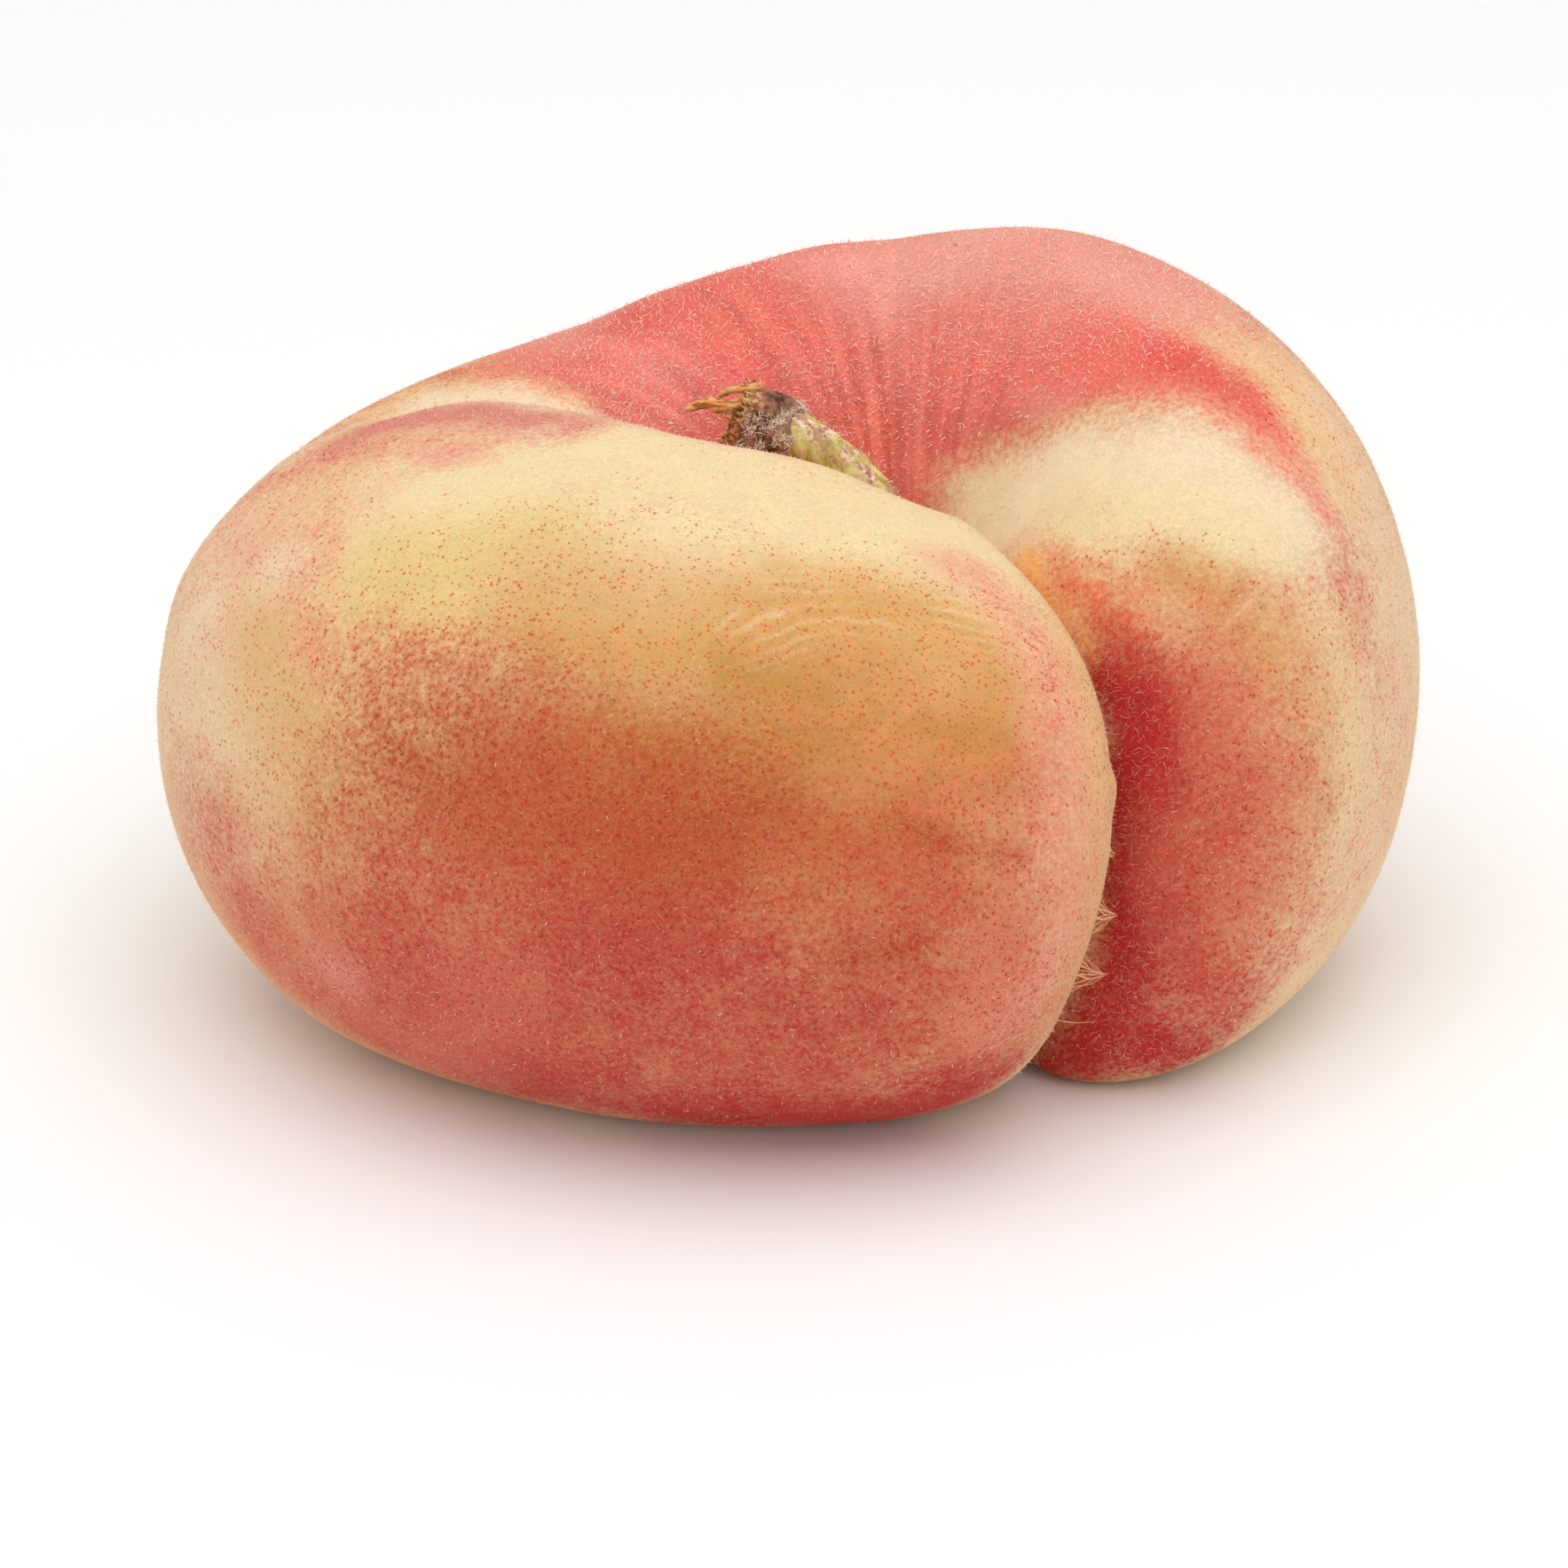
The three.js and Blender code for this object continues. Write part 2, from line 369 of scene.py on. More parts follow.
# Smaller wrinkles cross the dimple of the right cheek
dimple_way, dimple_gap = np.array((0.55, 0.45, -0.70)), 0.0011
across_dimple = places @ dimple_way + layered(places, (0.004, 0.0008, 36))
dimpled = base_skin.stroke(dimple_line, 9) * smooth_step(0.5 + layered(places, (0.003, 1.1, 37)))
dimple_wrinkles = dimpled * crests(across_dimple, dimple_gap)
rise += 0.9 * wrinkle_height * dimple_wrinkles
wrinkles = np.maximum(wrinkles, 0.7 * dimple_wrinkles)

# The upright furrows of the edge along the cleft
upright = (1, 1, 0.14)
rise += base_skin.stroke(band_line, 11) * layered(places * upright, (0.0008, 0.00006, 33))

# The folds of the cavity, which run to the stalk's foot
stalk_low, stalk_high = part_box("stalk")
foot_radius = 0.0017
stalk_foot = np.array((stalk_high.x - foot_radius, stalk_low.y + foot_radius, stalk_low.z))
from_foot = places - stalk_foot
turn = np.arctan2(from_foot[:, 1], from_foot[:, 0])
out = np.hypot(from_foot[:, 0], from_foot[:, 1])
hollow = base_skin.stroke([(-20, 38, 81), (2, 40, 80), (19, 12, 52), (22, 30, 72)], 45)
fold_count, fold_length, fold_height = 6.5, 0.006, 0.00006
around = np.column_stack([fold_count * np.cos(turn), fold_count * np.sin(turn), out / fold_length])
folds = grown_noise(around, 1.0, 34)
fold_start, fold_end = 0.002, 0.02
past_foot = smooth_step((out - fold_start) / 0.004)
short_of_crest = smooth_step((fold_end - out) / 0.012)
rise += fold_height * hollow * folds * past_foot * short_of_crest

# A groove up the cavity, two dips behind the left ridge, the swells of the back crest and the left shoulder,
# the dimple of the right cheek, two swells of the edge along the cleft and a notch under the front. Each row
# is a line, a width and a height in metres.
for line, width, swell in (
    ([(14, 40, 83), (12, 37, 79), (10, 34, 74)], 2.5, -0.00025),
    ([(-62, 24, 82), (-50, 27, 83), (-36, 20, 83)], 7, -0.0007),
    ([(-60, 31, 80), (-54, 34, 81), (-47, 41, 81)], 13, -0.0005),
    ([(-19, 60, 85), (-12, 61, 86), (-4, 61, 88), (3, 62, 90)], 17, 0.0008),
    ([(-94, 1, 62), (-86, 5, 70), (-79, 10, 74)], 17, 0.0006),
    ([(60, -33, 72), (66, -37, 71)], 6, -0.00022),
    ([(49, -60, 50), (50, -56, 45)], 4, 0.0003),
    ([(51, -54, 33)], 4, 0.00025),
    ([(-12, -78, 6), (-4, -77, 5)], 4, -0.0004),
):
    rise += swell * base_skin.stroke(line, width)

# The rested foot stays flat, and nothing stands out past the fruit's own box
flat_height, flat_fade = 0.0002, 0.002
rise *= smooth_step((places[:, 2] - flat_height) / flat_fade)
reshape(peach, np.clip(places + rise[:, None] * facing, fruit_low, fruit_high))

# The ground colours, which lie under the blush: from cream on the crests to ochre where the leaves shaded it
cream = (0.84, 0.67, 0.38)
pale_green = (0.75, 0.56, 0.22)
wheat = (0.72, 0.45, 0.20)
straw = (0.84, 0.62, 0.37)
gold = (0.64, 0.35, 0.10)
ochre = (0.57, 0.25, 0.06)
olive = (0.51, 0.25, 0.045)
russet = (0.56, 0.20, 0.06)
apricot = (0.70, 0.29, 0.14)
shell_pink = (0.84, 0.47, 0.29)
amber = (0.92, 0.48, 0.15)
milk = (0.86, 0.69, 0.46)
# Ivory is lighter than the skin's own cream: besides the cream patch's colour it carries painted light
ivory_and_painted_light = (0.95, 0.82, 0.52)
honey = (0.84, 0.57, 0.25)

# The blushes over them, from pink to crimson. Pale rose also paints highlights on the top of the back crest
rose = (0.78, 0.27, 0.20)
pale_rose = (0.86, 0.38, 0.31)
coral = (0.62, 0.13, 0.08)
salmon = (0.74, 0.22, 0.14)
brick = (0.44, 0.08, 0.025)
red = (0.55, 0.08, 0.05)
crimson = (0.86, 0.18, 0.14)
cerise = (0.76, 0.165, 0.135)
scarlet = (0.84, 0.155, 0.10)
mauve = (0.66, 0.19, 0.15)
# Dark red and ruby also paint shade along the foot, next to the table
dark_red = (0.47, 0.04, 0.035)
ruby = (0.48, 0.027, 0.025)
flame = (0.76, 0.15, 0.06)
deep_crimson = (0.72, 0.10, 0.075)

stroke_waver = 0.0013
skin = Skin(peach.data, stroke_waver)
straw_share = smooth_step(0.5 + layered(places, (0.014, 1, 41)))[:, None]
ground = np.array(honey) + straw_share * (np.array(straw) - honey)
blush = np.tile(np.array(coral), (len(places), 1))
down_the_side = (1, 1, 0.2)
washes = layered(places * down_the_side, (0.006, 1, 42), (0.0025, 0.5, 43))
sunny = smooth_step((places[:, 2] / height - 0.35) / 0.6)
least_cover = 0.03
cover = np.clip(0.16 + 0.34 * sunny + 0.36 * washes, least_cover, 1)

crest_line = [(-53, -22, 86), (-36, -26, 88), (-20, -30, 88), (-4, -37, 86), (12, -37, 82), (26, -35, 78)]
window_line = [(30, 16, 65), (43, 2, 76), (56, -10, 82), (67, -20, 81), (75, -24, 78)]
crimson_line = [(24, 34, 86), (37, 27, 89), (50, 18, 91), (61, 7, 90), (70, -2, 88)]
ridge_line = [(-68, 10, 80), (-57, 12, 83), (-45, -2, 87), (-34, -14, 88)]
band_core = [(39, -62, 67), (41, -74, 59), (41, -83, 49), (40, -87, 38), (34, -88, 27)]

# The ground colours are laid on as soft strokes. Each row is a colour, a width, a strength and a line.
for colour, width, strength, line in (
    # The front cheek, from the left round to the cleft
    (apricot, 60, 0.9, [(-80, -60, 25), (-40, -90, 25), (1, -97, 28), (28, -94, 40)]),
    (straw, 34, 1.0, [(-93, 3, 62), (-94, -23, 54), (-89, -43, 47)]),
    (shell_pink, 14, 0.6, [(-84, -15, 72), (-80, -32, 68)]),
    (wheat, 16, 0.9, [(-79, -39, 67), (-76, -56, 60), (-68, -68, 50)]),
    (cream, 24, 1.0, crest_line),
    (cream, 14, 0.8, [(-45, -36, 86), (-20, -42, 86), (0, -46, 84), (18, -44, 80)]),
    (pale_green, 18, 1.0, [(-60, -48, 78), (-50, -52, 80), (-38, -54, 82)]),
    (wheat, 13, 0.9, [(-38, -60, 80), (-25, -61, 80), (-12, -62, 80), (-2, -60, 80)]),
    (gold, 16, 0.95, [(-37, -70, 74), (-22, -73, 75), (-12, -72, 76)]),
    (gold, 16, 0.95, [(-2, -70, 76), (8, -68, 77), (18, -66, 76), (28, -64, 73), (33, -66, 68)]),
    (ochre, 17, 0.95, [(-33, -84, 64), (-17, -87, 66), (-1, -86, 66), (12, -83, 66),
                       (24, -82, 63), (30, -80, 62)]),
    (olive, 9, 0.8, [(-8, -78, 73), (2, -80, 71)]),
    (russet, 22, 0.95, [(-45, -84, 55), (-20, -94, 55), (0, -96, 55), (15, -94, 52)]),
    (shell_pink, 9, 0.8, [(24, -44, 77), (32, -49, 74)]),
    (shell_pink, 11, 0.95, [(36, -54, 72)] + band_core),
    (apricot, 12, 0.4, [(-86, -49, 44)]),
    (milk, 9, 0.6, [(-80, -29, 72), (-75, -33, 73)]),
    (milk, 12, 0.5, [(-92, -19, 61)]),
    (ochre, 8, 0.45, [(6, -75, 72), (15, -74, 71)]),
    # The right cheek
    (straw, 50, 0.8, [(75, -30, 75), (85, -40, 50), (75, -53, 28)]),
    (milk, 21, 1.0, window_line),
    # Partly the cream patch's own colour and partly painted light, lightening the shaded saddle beside the
    # cavity
    (ivory_and_painted_light, 15, 1.0, [(29, 16, 65), (35, 10, 69), (44, 0, 77)]),
    (cream, 16, 0.9, [(43, -10, 75), (56, -22, 78), (69, -29, 76)]),
    (wheat, 12, 0.6, [(73, -38, 66), (77, -45, 57), (77, -50, 46)]),
    (straw, 16, 1.0, [(94, -16, 60), (94, -22, 49), (92, -29, 37), (88, -36, 29)]),
    (gold, 9, 0.85, [(58, -33, 72), (66, -37, 70), (71, -42, 64)]),
    (apricot, 18, 0.8, [(62, -45, 60), (68, -52, 50), (68, -56, 32)]),
    (shell_pink, 18, 0.5, [(64, 29, 94), (75, 19, 89), (85, 12, 82), (92, 3, 73)]),
    (milk, 11, 1.0, [(-57, 31, 81), (-46, 26, 82), (-36, 17, 83)]),
    # Touches on both, and the amber edge of the cleft
    (ochre, 10, 0.5, [(26, -82, 62), (20, -91, 57)]),
    (milk, 14, 0.4, [(85, 16, 82), (92, 3, 73)]),
    (amber, 5, 1.0, [(37, -12, 69), (39, -19, 68), (43, -28, 65), (46, -33, 62)]),
):
    ground += strength * skin.stroke(line, width)[:, None] * (np.array(colour) - ground)

# The blushes are laid over them in the same way. A row that starts with thinned takes blush away instead.
# Some rows also paint highlights and shade, as marked.
thinned = None
for colour, width, strength, line, *softness in (
    # The front cheek
    (thinned, 75, 1.0, [(-70, -40, 70), (-20, -75, 70), (30, -60, 60)]),
    (thinned, 34, 0.92, crest_line),
    (rose, 20, 0.18, [(-87, -2, 69), (-75, -12, 77), (-66, -16, 82)]),
    (salmon, 9, 0.5, [(-72, -28, 76), (-71, -40, 71), (-69, -50, 66)]),
    (coral, 20, 0.62, [(-91, -44, 38), (-84, -58, 30)]),
    (coral, 15, 0.5, [(-60, -60, 68), (-47, -70, 68), (-36, -81, 64)]),
    (brick, 28, 0.66, [(-55, -78, 60), (-28, -91, 58), (-8, -95, 56)]),
    (red, 30, 0.62, [(-60, -78, 40), (-40, -90, 44), (-22, -96, 44)]),
    (red, 14, 0.75, [(-26, -95, 42), (-12, -98, 40)]),
    (red, 24, 0.42, [(1, -99, 44), (20, -96, 40)]),
    (dark_red, 28, 0.62, [(-56, -78, 20), (-30, -93, 28), (-10, -97, 28), (8, -97, 28)]),
    (salmon, 12, 0.45, [(-71, -64, 28), (-66, -64, 18)]),
    (coral, 16, 0.7, [(-84, -50, 24), (-74, -56, 15), (-62, -64, 9)]),
    (red, 30, 0.52, [(-58, -74, 20), (-30, -90, 19), (-5, -92, 17), (22, -90, 20)]),
    # The dark red and ruby along the foot are partly the skin's own deep blush and partly painted shade next
    # to the table
    (dark_red, 20, 0.66, [(-46, -75, 10), (-30, -80, 9), (-12, -82, 8), (4, -78, 5), (16, -76, 5),
                          (25, -80, 10)]),
    (ruby, 15, 0.85, [(-14, -81, 8), (4, -78, 6), (16, -75, 5), (26, -82, 11)]),
    (salmon, 13, 0.4, band_core),
    (salmon, 9, 0.5, [(29, -92, 38), (28, -91, 24)]),
    (brick, 5, 0.5, [(16, -92, 54), (22, -92, 51)]),
    (brick, 4, 0.55, [(24, -91, 51), (33, -88, 50)]),
    (red, 8, 0.45, [(2, -98, 52), (14, -96, 48), (24, -93, 45)]),
    (brick, 5, 0.5, [(6, -99, 38), (17, -98, 38)]),
    (salmon, 9, 0.3, [(28, -44, 76), (36, -54, 72)]),
    (coral, 9, 0.35, [(36, -80, 58), (33, -89, 48), (32, -92, 38)]),
    # More of the same at the foot: deep blush and painted shade
    (ruby, 11, 0.75, [(-2, -83, 9), (8, -83, 9), (16, -82, 8)]),
    (dark_red, 12, 0.45, [(-40, -80, 12), (-28, -84, 13)]),
    (salmon, 16, 0.35, [(-54, -70, 12), (-48, -82, 21), (-45, -87, 29)]),
    (pale_rose, 9, 0.35, [(-69, -67, 24)]),
    (coral, 9, 0.35, [(22, -89, 57), (31, -86, 57)]),
    (brick, 13, 0.3, [(-20, -91, 59), (-5, -93, 59)]),
    (thinned, 12, 0.25, [(-4, -98, 48), (4, -98, 48)]),
    (thinned, 7, 0.3, [(-34, -79, 68)]),
    (brick, 12, 0.35, [(-22, -97, 49), (-14, -98, 48)]),
    (salmon, 8, 0.3, [(-68, -50, 71)]),
    (salmon, 7, 0.25, [(38, -72, 63)]),
    (thinned, 9, 0.5, [(-77, -31, 73)]),
    (thinned, 12, 0.5, [(-92, -19, 61)]),
    # The left ridge, the cavity and the crests behind it
    (red, 42, 0.97, [(-18, 37, 81), (2, 40, 80), (14, 34, 76), (19, 12, 52), (22, 30, 72)]),
    (cerise, 34, 0.85, [(-18, 37, 81), (2, 42, 82), (16, 36, 77), (24, 28, 76)]),
    (thinned, 13, 0.9, [(-58, 31, 81), (-46, 26, 82), (-38, 18, 83)]),
    (mauve, 12, 0.9, ridge_line),
    (mauve, 10, 0.85, [(-59, 13, 83), (-54, 11, 84), (-47, 4, 86)]),
    (rose, 7, 0.45, [(-59, -13, 84), (-52, -20, 86)]),
    (salmon, 11, 0.45, [(-79, 4, 75), (-68, 2, 80), (-56, -8, 85), (-46, -15, 87)]),
    (rose, 8, 0.3, [(-34, -14, 88), (-24, -12, 89)]),
    (rose, 6, 0.5, [(-60, 12, 82), (-54, 12, 84)]),
    (rose, 7, 0.28, [(-54, -19, 86), (-44, -19, 87)]),
    (thinned, 6, 0.5, [(-36, -16, 88)]),
    (crimson, 26, 0.9, [(-32, 46, 82), (-21, 56, 84), (-8, 56, 86), (7, 54, 89)]),
    (rose, 20, 0.9, [(-36, 58, 82), (-24, 68, 83), (-10, 64, 87), (7, 62, 92), (23, 56, 95),
                     (37, 49, 99), (55, 40, 97)]),
    (rose, 18, 0.8, [(23, 42, 91), (37, 33, 95), (50, 28, 96), (60, 23, 95)]),
    (deep_crimson, 15, 0.85, [(-24, 58, 84), (-8, 60, 86), (6, 58, 89)]),
    # Painted highlight: pale rose along the top of the back crest, lighter where the light falls on it
    (pale_rose, 16, 0.6, [(14, 52, 92), (28, 46, 96), (44, 38, 98), (58, 32, 96)]),
    (crimson, 12, 0.8, crimson_line),
    (pale_rose, 12, 0.35, [(22, 33, 83), (34, 28, 86), (42, 24, 88)]),
    (deep_crimson, 13, 0.4, [(-9, 46, 82), (0, 42, 81)]),
    (pale_rose, 10, 0.3, [(-20, 40, 81)]),
    # Painted highlight: a paler pink spot on the top of the back crest
    (pale_rose, 9, 0.5, [(2, 60, 91), (9, 57, 92)]),
    (rose, 11, 0.5, [(37, 41, 99), (51, 43, 99), (62, 38, 96)]),
    (scarlet, 8, 0.65, [(10, 35, 75), (17, 29, 70), (23, 25, 69)]),
    (deep_crimson, 10, 0.85, [(46, 18, 90), (56, 11, 91), (66, 2, 89)]),
    (crimson, 8, 0.85, [(70, -2, 88), (77, -10, 83)]),
    (rose, 7, 0.7, [(77, -10, 83), (83, -18, 77)]),
    (pale_rose, 6, 0.35, [(67, -1, 88), (73, -8, 86)]),
    (pale_rose, 9, 0.4, [(56, 10, 90), (62, 4, 90)]),
    (pale_rose, 7, 0.25, [(20, 27, 70), (24, 24, 70)]),
    (pale_rose, 7, 0.4, [(37, 21, 83), (42, 17, 84)]),
    (mauve, 5, 0.6, [(-60, 12, 82), (-55, 11, 84)]),
    (thinned, 8, 0.6, [(-45, 22, 82), (-38, 19, 82)]),
    (rose, 9, 0.3, [(58, 45, 95), (64, 42, 95)]),
    # The right cheek
    (thinned, 16, 1.0, window_line),
    (thinned, 24, 0.9, [(75, 14, 87), (85, 8, 80), (94, -4, 68), (96, -14, 52), (92, -26, 36)]),
    (thinned, 13, 0.9, [(43, -10, 75), (56, -20, 78), (69, -27, 76)]),
    (crimson, 10, 0.9, [(24, 34, 81), (36, 27, 84), (47, 19, 88), (55, 10, 90)]),
    (thinned, 13, 1.0, [(32, 10, 65), (38, 4, 70), (45, -2, 75)]),
    (coral, 16, 0.72, [(61, -46, 60), (66, -50, 55), (69, -53, 47), (69, -56, 36), (66, -58, 24)]),
    (red, 12, 0.6, [(58, -47, 57), (61, -52, 50), (63, -54, 44), (62, -57, 32)]),
    (deep_crimson, 9, 0.9, [(57, 10, 91), (66, 2, 89), (72, -4, 87)]),
    (crimson, 6, 0.5, [(72, -4, 87), (78, -11, 83), (82, -16, 78)]),
    (flame, 9, 0.85, [(41, -21, 70), (46, -29, 68), (51, -34, 66)]),
    (red, 9, 0.8, [(46, -35, 63), (50, -38, 62)]),
    (ruby, 11, 1.0, [(50, -42, 59), (53, -46, 55), (54, -51, 48)], 0.8),
    (red, 13, 1.0, [(55, -54, 42), (55, -55, 34), (55, -57, 28)]),
    (dark_red, 14, 0.92, [(55, -57, 28), (54, -58, 20), (50, -57, 13)]),
    (salmon, 20, 0.25, [(93, -20, 48), (89, -34, 32), (80, -46, 24)]),
    # The ruby along the foot of the right cheek is partly deep blush and partly painted shade next to the
    # table
    (ruby, 14, 0.95, [(40, -52, 4), (48, -55, 10), (57, -56, 8), (62, -54, 6)]),
    (red, 12, 0.75, [(64, -57, 18), (70, -55, 15)]),
    (thinned, 12, 1.0, [(31, 17, 69), (35, 10, 69), (43, 2, 77)]),
    (salmon, 8, 0.22, [(56, -56, 36), (57, -58, 26)]),
    # Deep blush and painted shade at the foot
    (ruby, 7, 0.5, [(56, -57, 10), (61, -54, 7)]),
    (red, 8, 0.4, [(67, -56, 14)]),
    (red, 6, 0.45, [(48, -36, 62), (51, -39, 60)]),
    (ruby, 9, 0.35, [(53, -46, 54), (56, -53, 44)]),
    (thinned, 9, 0.5, [(80, -36, 66)]),
    (thinned, 10, 0.5, [(94, -24, 49)]),
    (thinned, 11, 0.3, [(80, -51, 34)]),
    (thinned, 5, 0.95, [(36, -8, 69), (39, -19, 68), (43, -28, 65), (45, -32, 62)]),
    (flame, 4, 0.5, [(44, -31, 63), (46, -35, 61)]),
    (ruby, 5, 0.9, [(47, -38, 59), (49, -44, 56), (50, -48, 50)]),
    (ruby, 8, 1.0, [(51, -46, 50), (51, -50, 40), (51, -53, 32), (50, -56, 25), (48, -55, 17),
                    (46, -55, 10)]),
):
    share = strength * skin.stroke(line, width, *softness)
    if colour is thinned:
        cover *= 1 - share
    else:
        blush_share = share / np.maximum(share + cover * (1 - share), 0.01)
        blush += blush_share[:, None] * (np.array(colour) - blush)
        cover += share * (1 - cover)

# Streaks of paler and deeper red run down the cavity to the stalk. A small share follows the folds, paler on
# their crests and deeper between them: painted light and shade
narrower, streak_pink = (2.4, 2.4, 1), (0.06, 0.09, 0.07)
streaks = grown_noise(around * narrower, 1.0, 35)
streaked = base_skin.stroke([(-20, 42, 82), (2, 42, 81), (18, 30, 72), (24, 32, 78)], 34) * cover
blush *= 1 + (streaked * (0.20 * streaks + 0.08 * folds))[:, None]
blush += np.outer(streaked * np.clip(streaks, 0, 1), streak_pink)
blush = np.clip(blush, 0, 1)

# Where the skin is freckled: thickly over gold and ochre, thinly over cream, and not at all in the cavity.
# Each row is a width, how thickly the skin there is freckled, and a line.
usual_freckling = 0.65
freckled = np.full(len(places), usual_freckling)
for width, amount, line in (
    (60, 1.35, [(-45, -84, 55), (0, -90, 62), (30, -75, 60)]),
    (20, 0.20, crest_line),
    (22, 0.12, window_line),
    (16, 0.60, [(60, -33, 72), (67, -42, 66), (72, -48, 58)]),
    (14, 0.35, [(40, -70, 62), (41, -83, 45)]),
    (50, 0.0, [(-24, 40, 82), (2, 44, 80), (20, 35, 76), (40, 25, 87)]),
    (13, 0.0, [(48, -33, 64), (53, -43, 58), (54, -54, 39)]),
):
    share = skin.stroke(line, width)
    freckled = freckled + share * (amount - freckled)


def keep(mesh, **stored):
    """Stores values or colours, one for each vertex, under their names, for the finishes to read."""
    for name, values in stored.items():
        if values.ndim == 1:
            mesh.attributes.new(name, "FLOAT", "POINT").data.foreach_set("value", values)
        else:
            opaque = np.column_stack([values, np.ones(len(values))])
            mesh.attributes.new(name, "FLOAT_COLOR", "POINT").data.foreach_set("color", opaque.ravel())


def dress(piece, finish, node):
    """Gives a piece its finish, and lets it stand for its CAD node."""
    piece.data.materials.clear()
    piece.data.materials.append(finish.material)
    piece.data.shade_smooth()
    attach(piece, "root")
    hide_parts(node)


keep(peach.data, ground=ground, blush=blush, cover=cover, freckled=freckled, wrinkled=wrinkles)


down_sheen, flesh_glow = (1.0, 0.88, 0.8), (1.0, 0.35, 0.2)
skin_finish = Finish("downy_peach_skin", Sheen_Weight=0.04, Sheen_Roughness=0.45, Sheen_Tint=down_sheen,
                     Specular_IOR_Level=0.09,
                     Subsurface_Weight=0.12, Subsurface_Scale=0.0015, Subsurface_Radius=flesh_glow)
covered = skin_finish.stored("cover")
open_edge = covered * (1 - covered)
stipple_size, mottle_size, patch_size, flat_patches = 0.00036, 0.0026, 0.0013, (1, 1, 1.6)
stipple = skin_finish.clouds(stipple_size, 3.0)
mottle = skin_finish.clouds(mottle_size, 3.0)
patches = skin_finish.clouds(patch_size, 2.0, flat_patches)
broken = 4.6 * (stipple - 0.5) + 2.3 * (mottle - 0.5) + 2.0 * (patches - 0.5)
stained = (covered + (open_edge + 0.08) * broken).held()
skin_colour = stained.between(skin_finish.stored("ground", "Color"), skin_finish.stored("blush", "Color"))

# Freckles: each small cell holds one, in the share of the cells that the skin there has
freckle_gap, freckle_radius = 0.00033, 0.31
uneven_size, uneven_shift = 0.00013, (0.00012, 0.00012, 0.00012)
shift_lot = skin_finish.clouds(uneven_size, 1.0, output="Color")
uneven = skin_finish.node("ShaderNodeVectorMath", {"operation": "MULTIPLY_ADD"},
                          {0: shift_lot, 1: uneven_shift, 2: skin_finish.place()})
freckle_lot = skin_finish.cells(uneven, freckle_gap, "Color") * 1.0
freckle = (freckle_radius + 0.6 * (stipple - 0.5) - skin_finish.cells(uneven, freckle_gap)).step(0, 0.12)
freckle_clumps = skin_finish.stored("freckled") * (1 + 1.6 * (mottle - 0.5) + 1.2 * (patches - 0.5))
freckle_here = (freckle_clumps - freckle_lot).step(0, 0.30)
orange_freckle, red_freckle, orange_flush = (0.62, 0.085, 0.02), (0.38, 0.028, 0.014), (0.84, 0.34, 0.14)
freckle_colour = covered.between(orange_freckle, red_freckle)
flushed = (0.28 * (freckle_clumps - covered).step(0.95, 1.75)).between(skin_colour, orange_flush)
skin_colour = (0.78 * freckle * freckle_here).between(flushed, freckle_colour)

# Painted highlight: the skin that stands up in a wrinkle is painted pale, where the light catches the crests
painted_wrinkle_highlight = (0.90, 0.66, 0.38)
skin_colour = (0.6 * skin_finish.stored("wrinkled")).between(skin_colour, painted_wrinkle_highlight)

# The nap of the shortest down: fine flecks painted lighter and darker, a painted light and shade of the nap
# over its fine relief. The broader lighter and darker patches are the skin's own tone
fleck_size, nap_depth = 0.00016, 0.00004
fleck = skin_finish.clouds(fleck_size, 1.0)
skin_shade = 1 + (0.35 + 0.5 * covered) * (fleck - 0.5) + 0.22 * (patches - 0.5)
skin_finish.set(Base_Color=skin_finish.shaded(skin_colour, skin_shade), Roughness=0.5 + 0.25 * mottle,
                Normal=skin_finish.relief(0.6 * stipple + 0.4 * fleck, nap_depth, 0.6))
dress(peach, skin_finish, "fruit")


# ---- The stalk ----
# The short green stalk that the fruit hung by: a ridged fleshy stem, scurfy and pinkish brown towards the
# twig, with a brown knuckle halfway up. It is grown into the floor of the cavity.

def along_piece(points, start, end):
    """How far each point lies from start (0) to end (1), measured along the straight line between them."""
    run = np.array(end) - np.array(start)
    return (points - np.array(start)) @ run / (run @ run)


def refilled(piece, node, stretch_low=(0, 0, 0), stretch_high=(0, 0, 0)):
    """Stretches a smoothed piece to fill its node's box again, and past its low and high sides by so much."""
    low, high = (np.array(corner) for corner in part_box(node))
    points, _ = mesh_points(piece.data)
    share = (points - points.min(0)) / (points.max(0) - points.min(0))
    low, high = low - stretch_low, high + stretch_high
    reshape(piece, low + share * (high - low))


stalk = quad_skin("stalk", "green_stalk", 2)
refilled(stalk, "stalk", (0.0004, 0, 0), (0, 0.0002, 0.0004))
stem_places, stem_facing = mesh_points(stalk.data)
top_inset = (0, 0.0014, 0.0012)
stalk_top = np.array((stalk_low.x, stalk_high.y, stalk_high.z)) - top_inset
up_stem = along_piece(stem_places, stalk_foot, stalk_top)
lengthwise, ridge_size, ridge_height = (1, 1, 0.25), 0.0006, 0.00009
stem_ridges = grown_noise(stem_places * lengthwise, ridge_size, 51)
scurf_size, scurf_height, flake_height = 0.00045, 0.00005, 0.00012
scurf = grown_noise(stem_places, scurf_size, 52)
knuckle_at, knuckle_reach, knuckle_height = 0.47, 0.06, 0.00016
knuckle = smooth_step(1 - np.abs(up_stem - knuckle_at) / knuckle_reach)

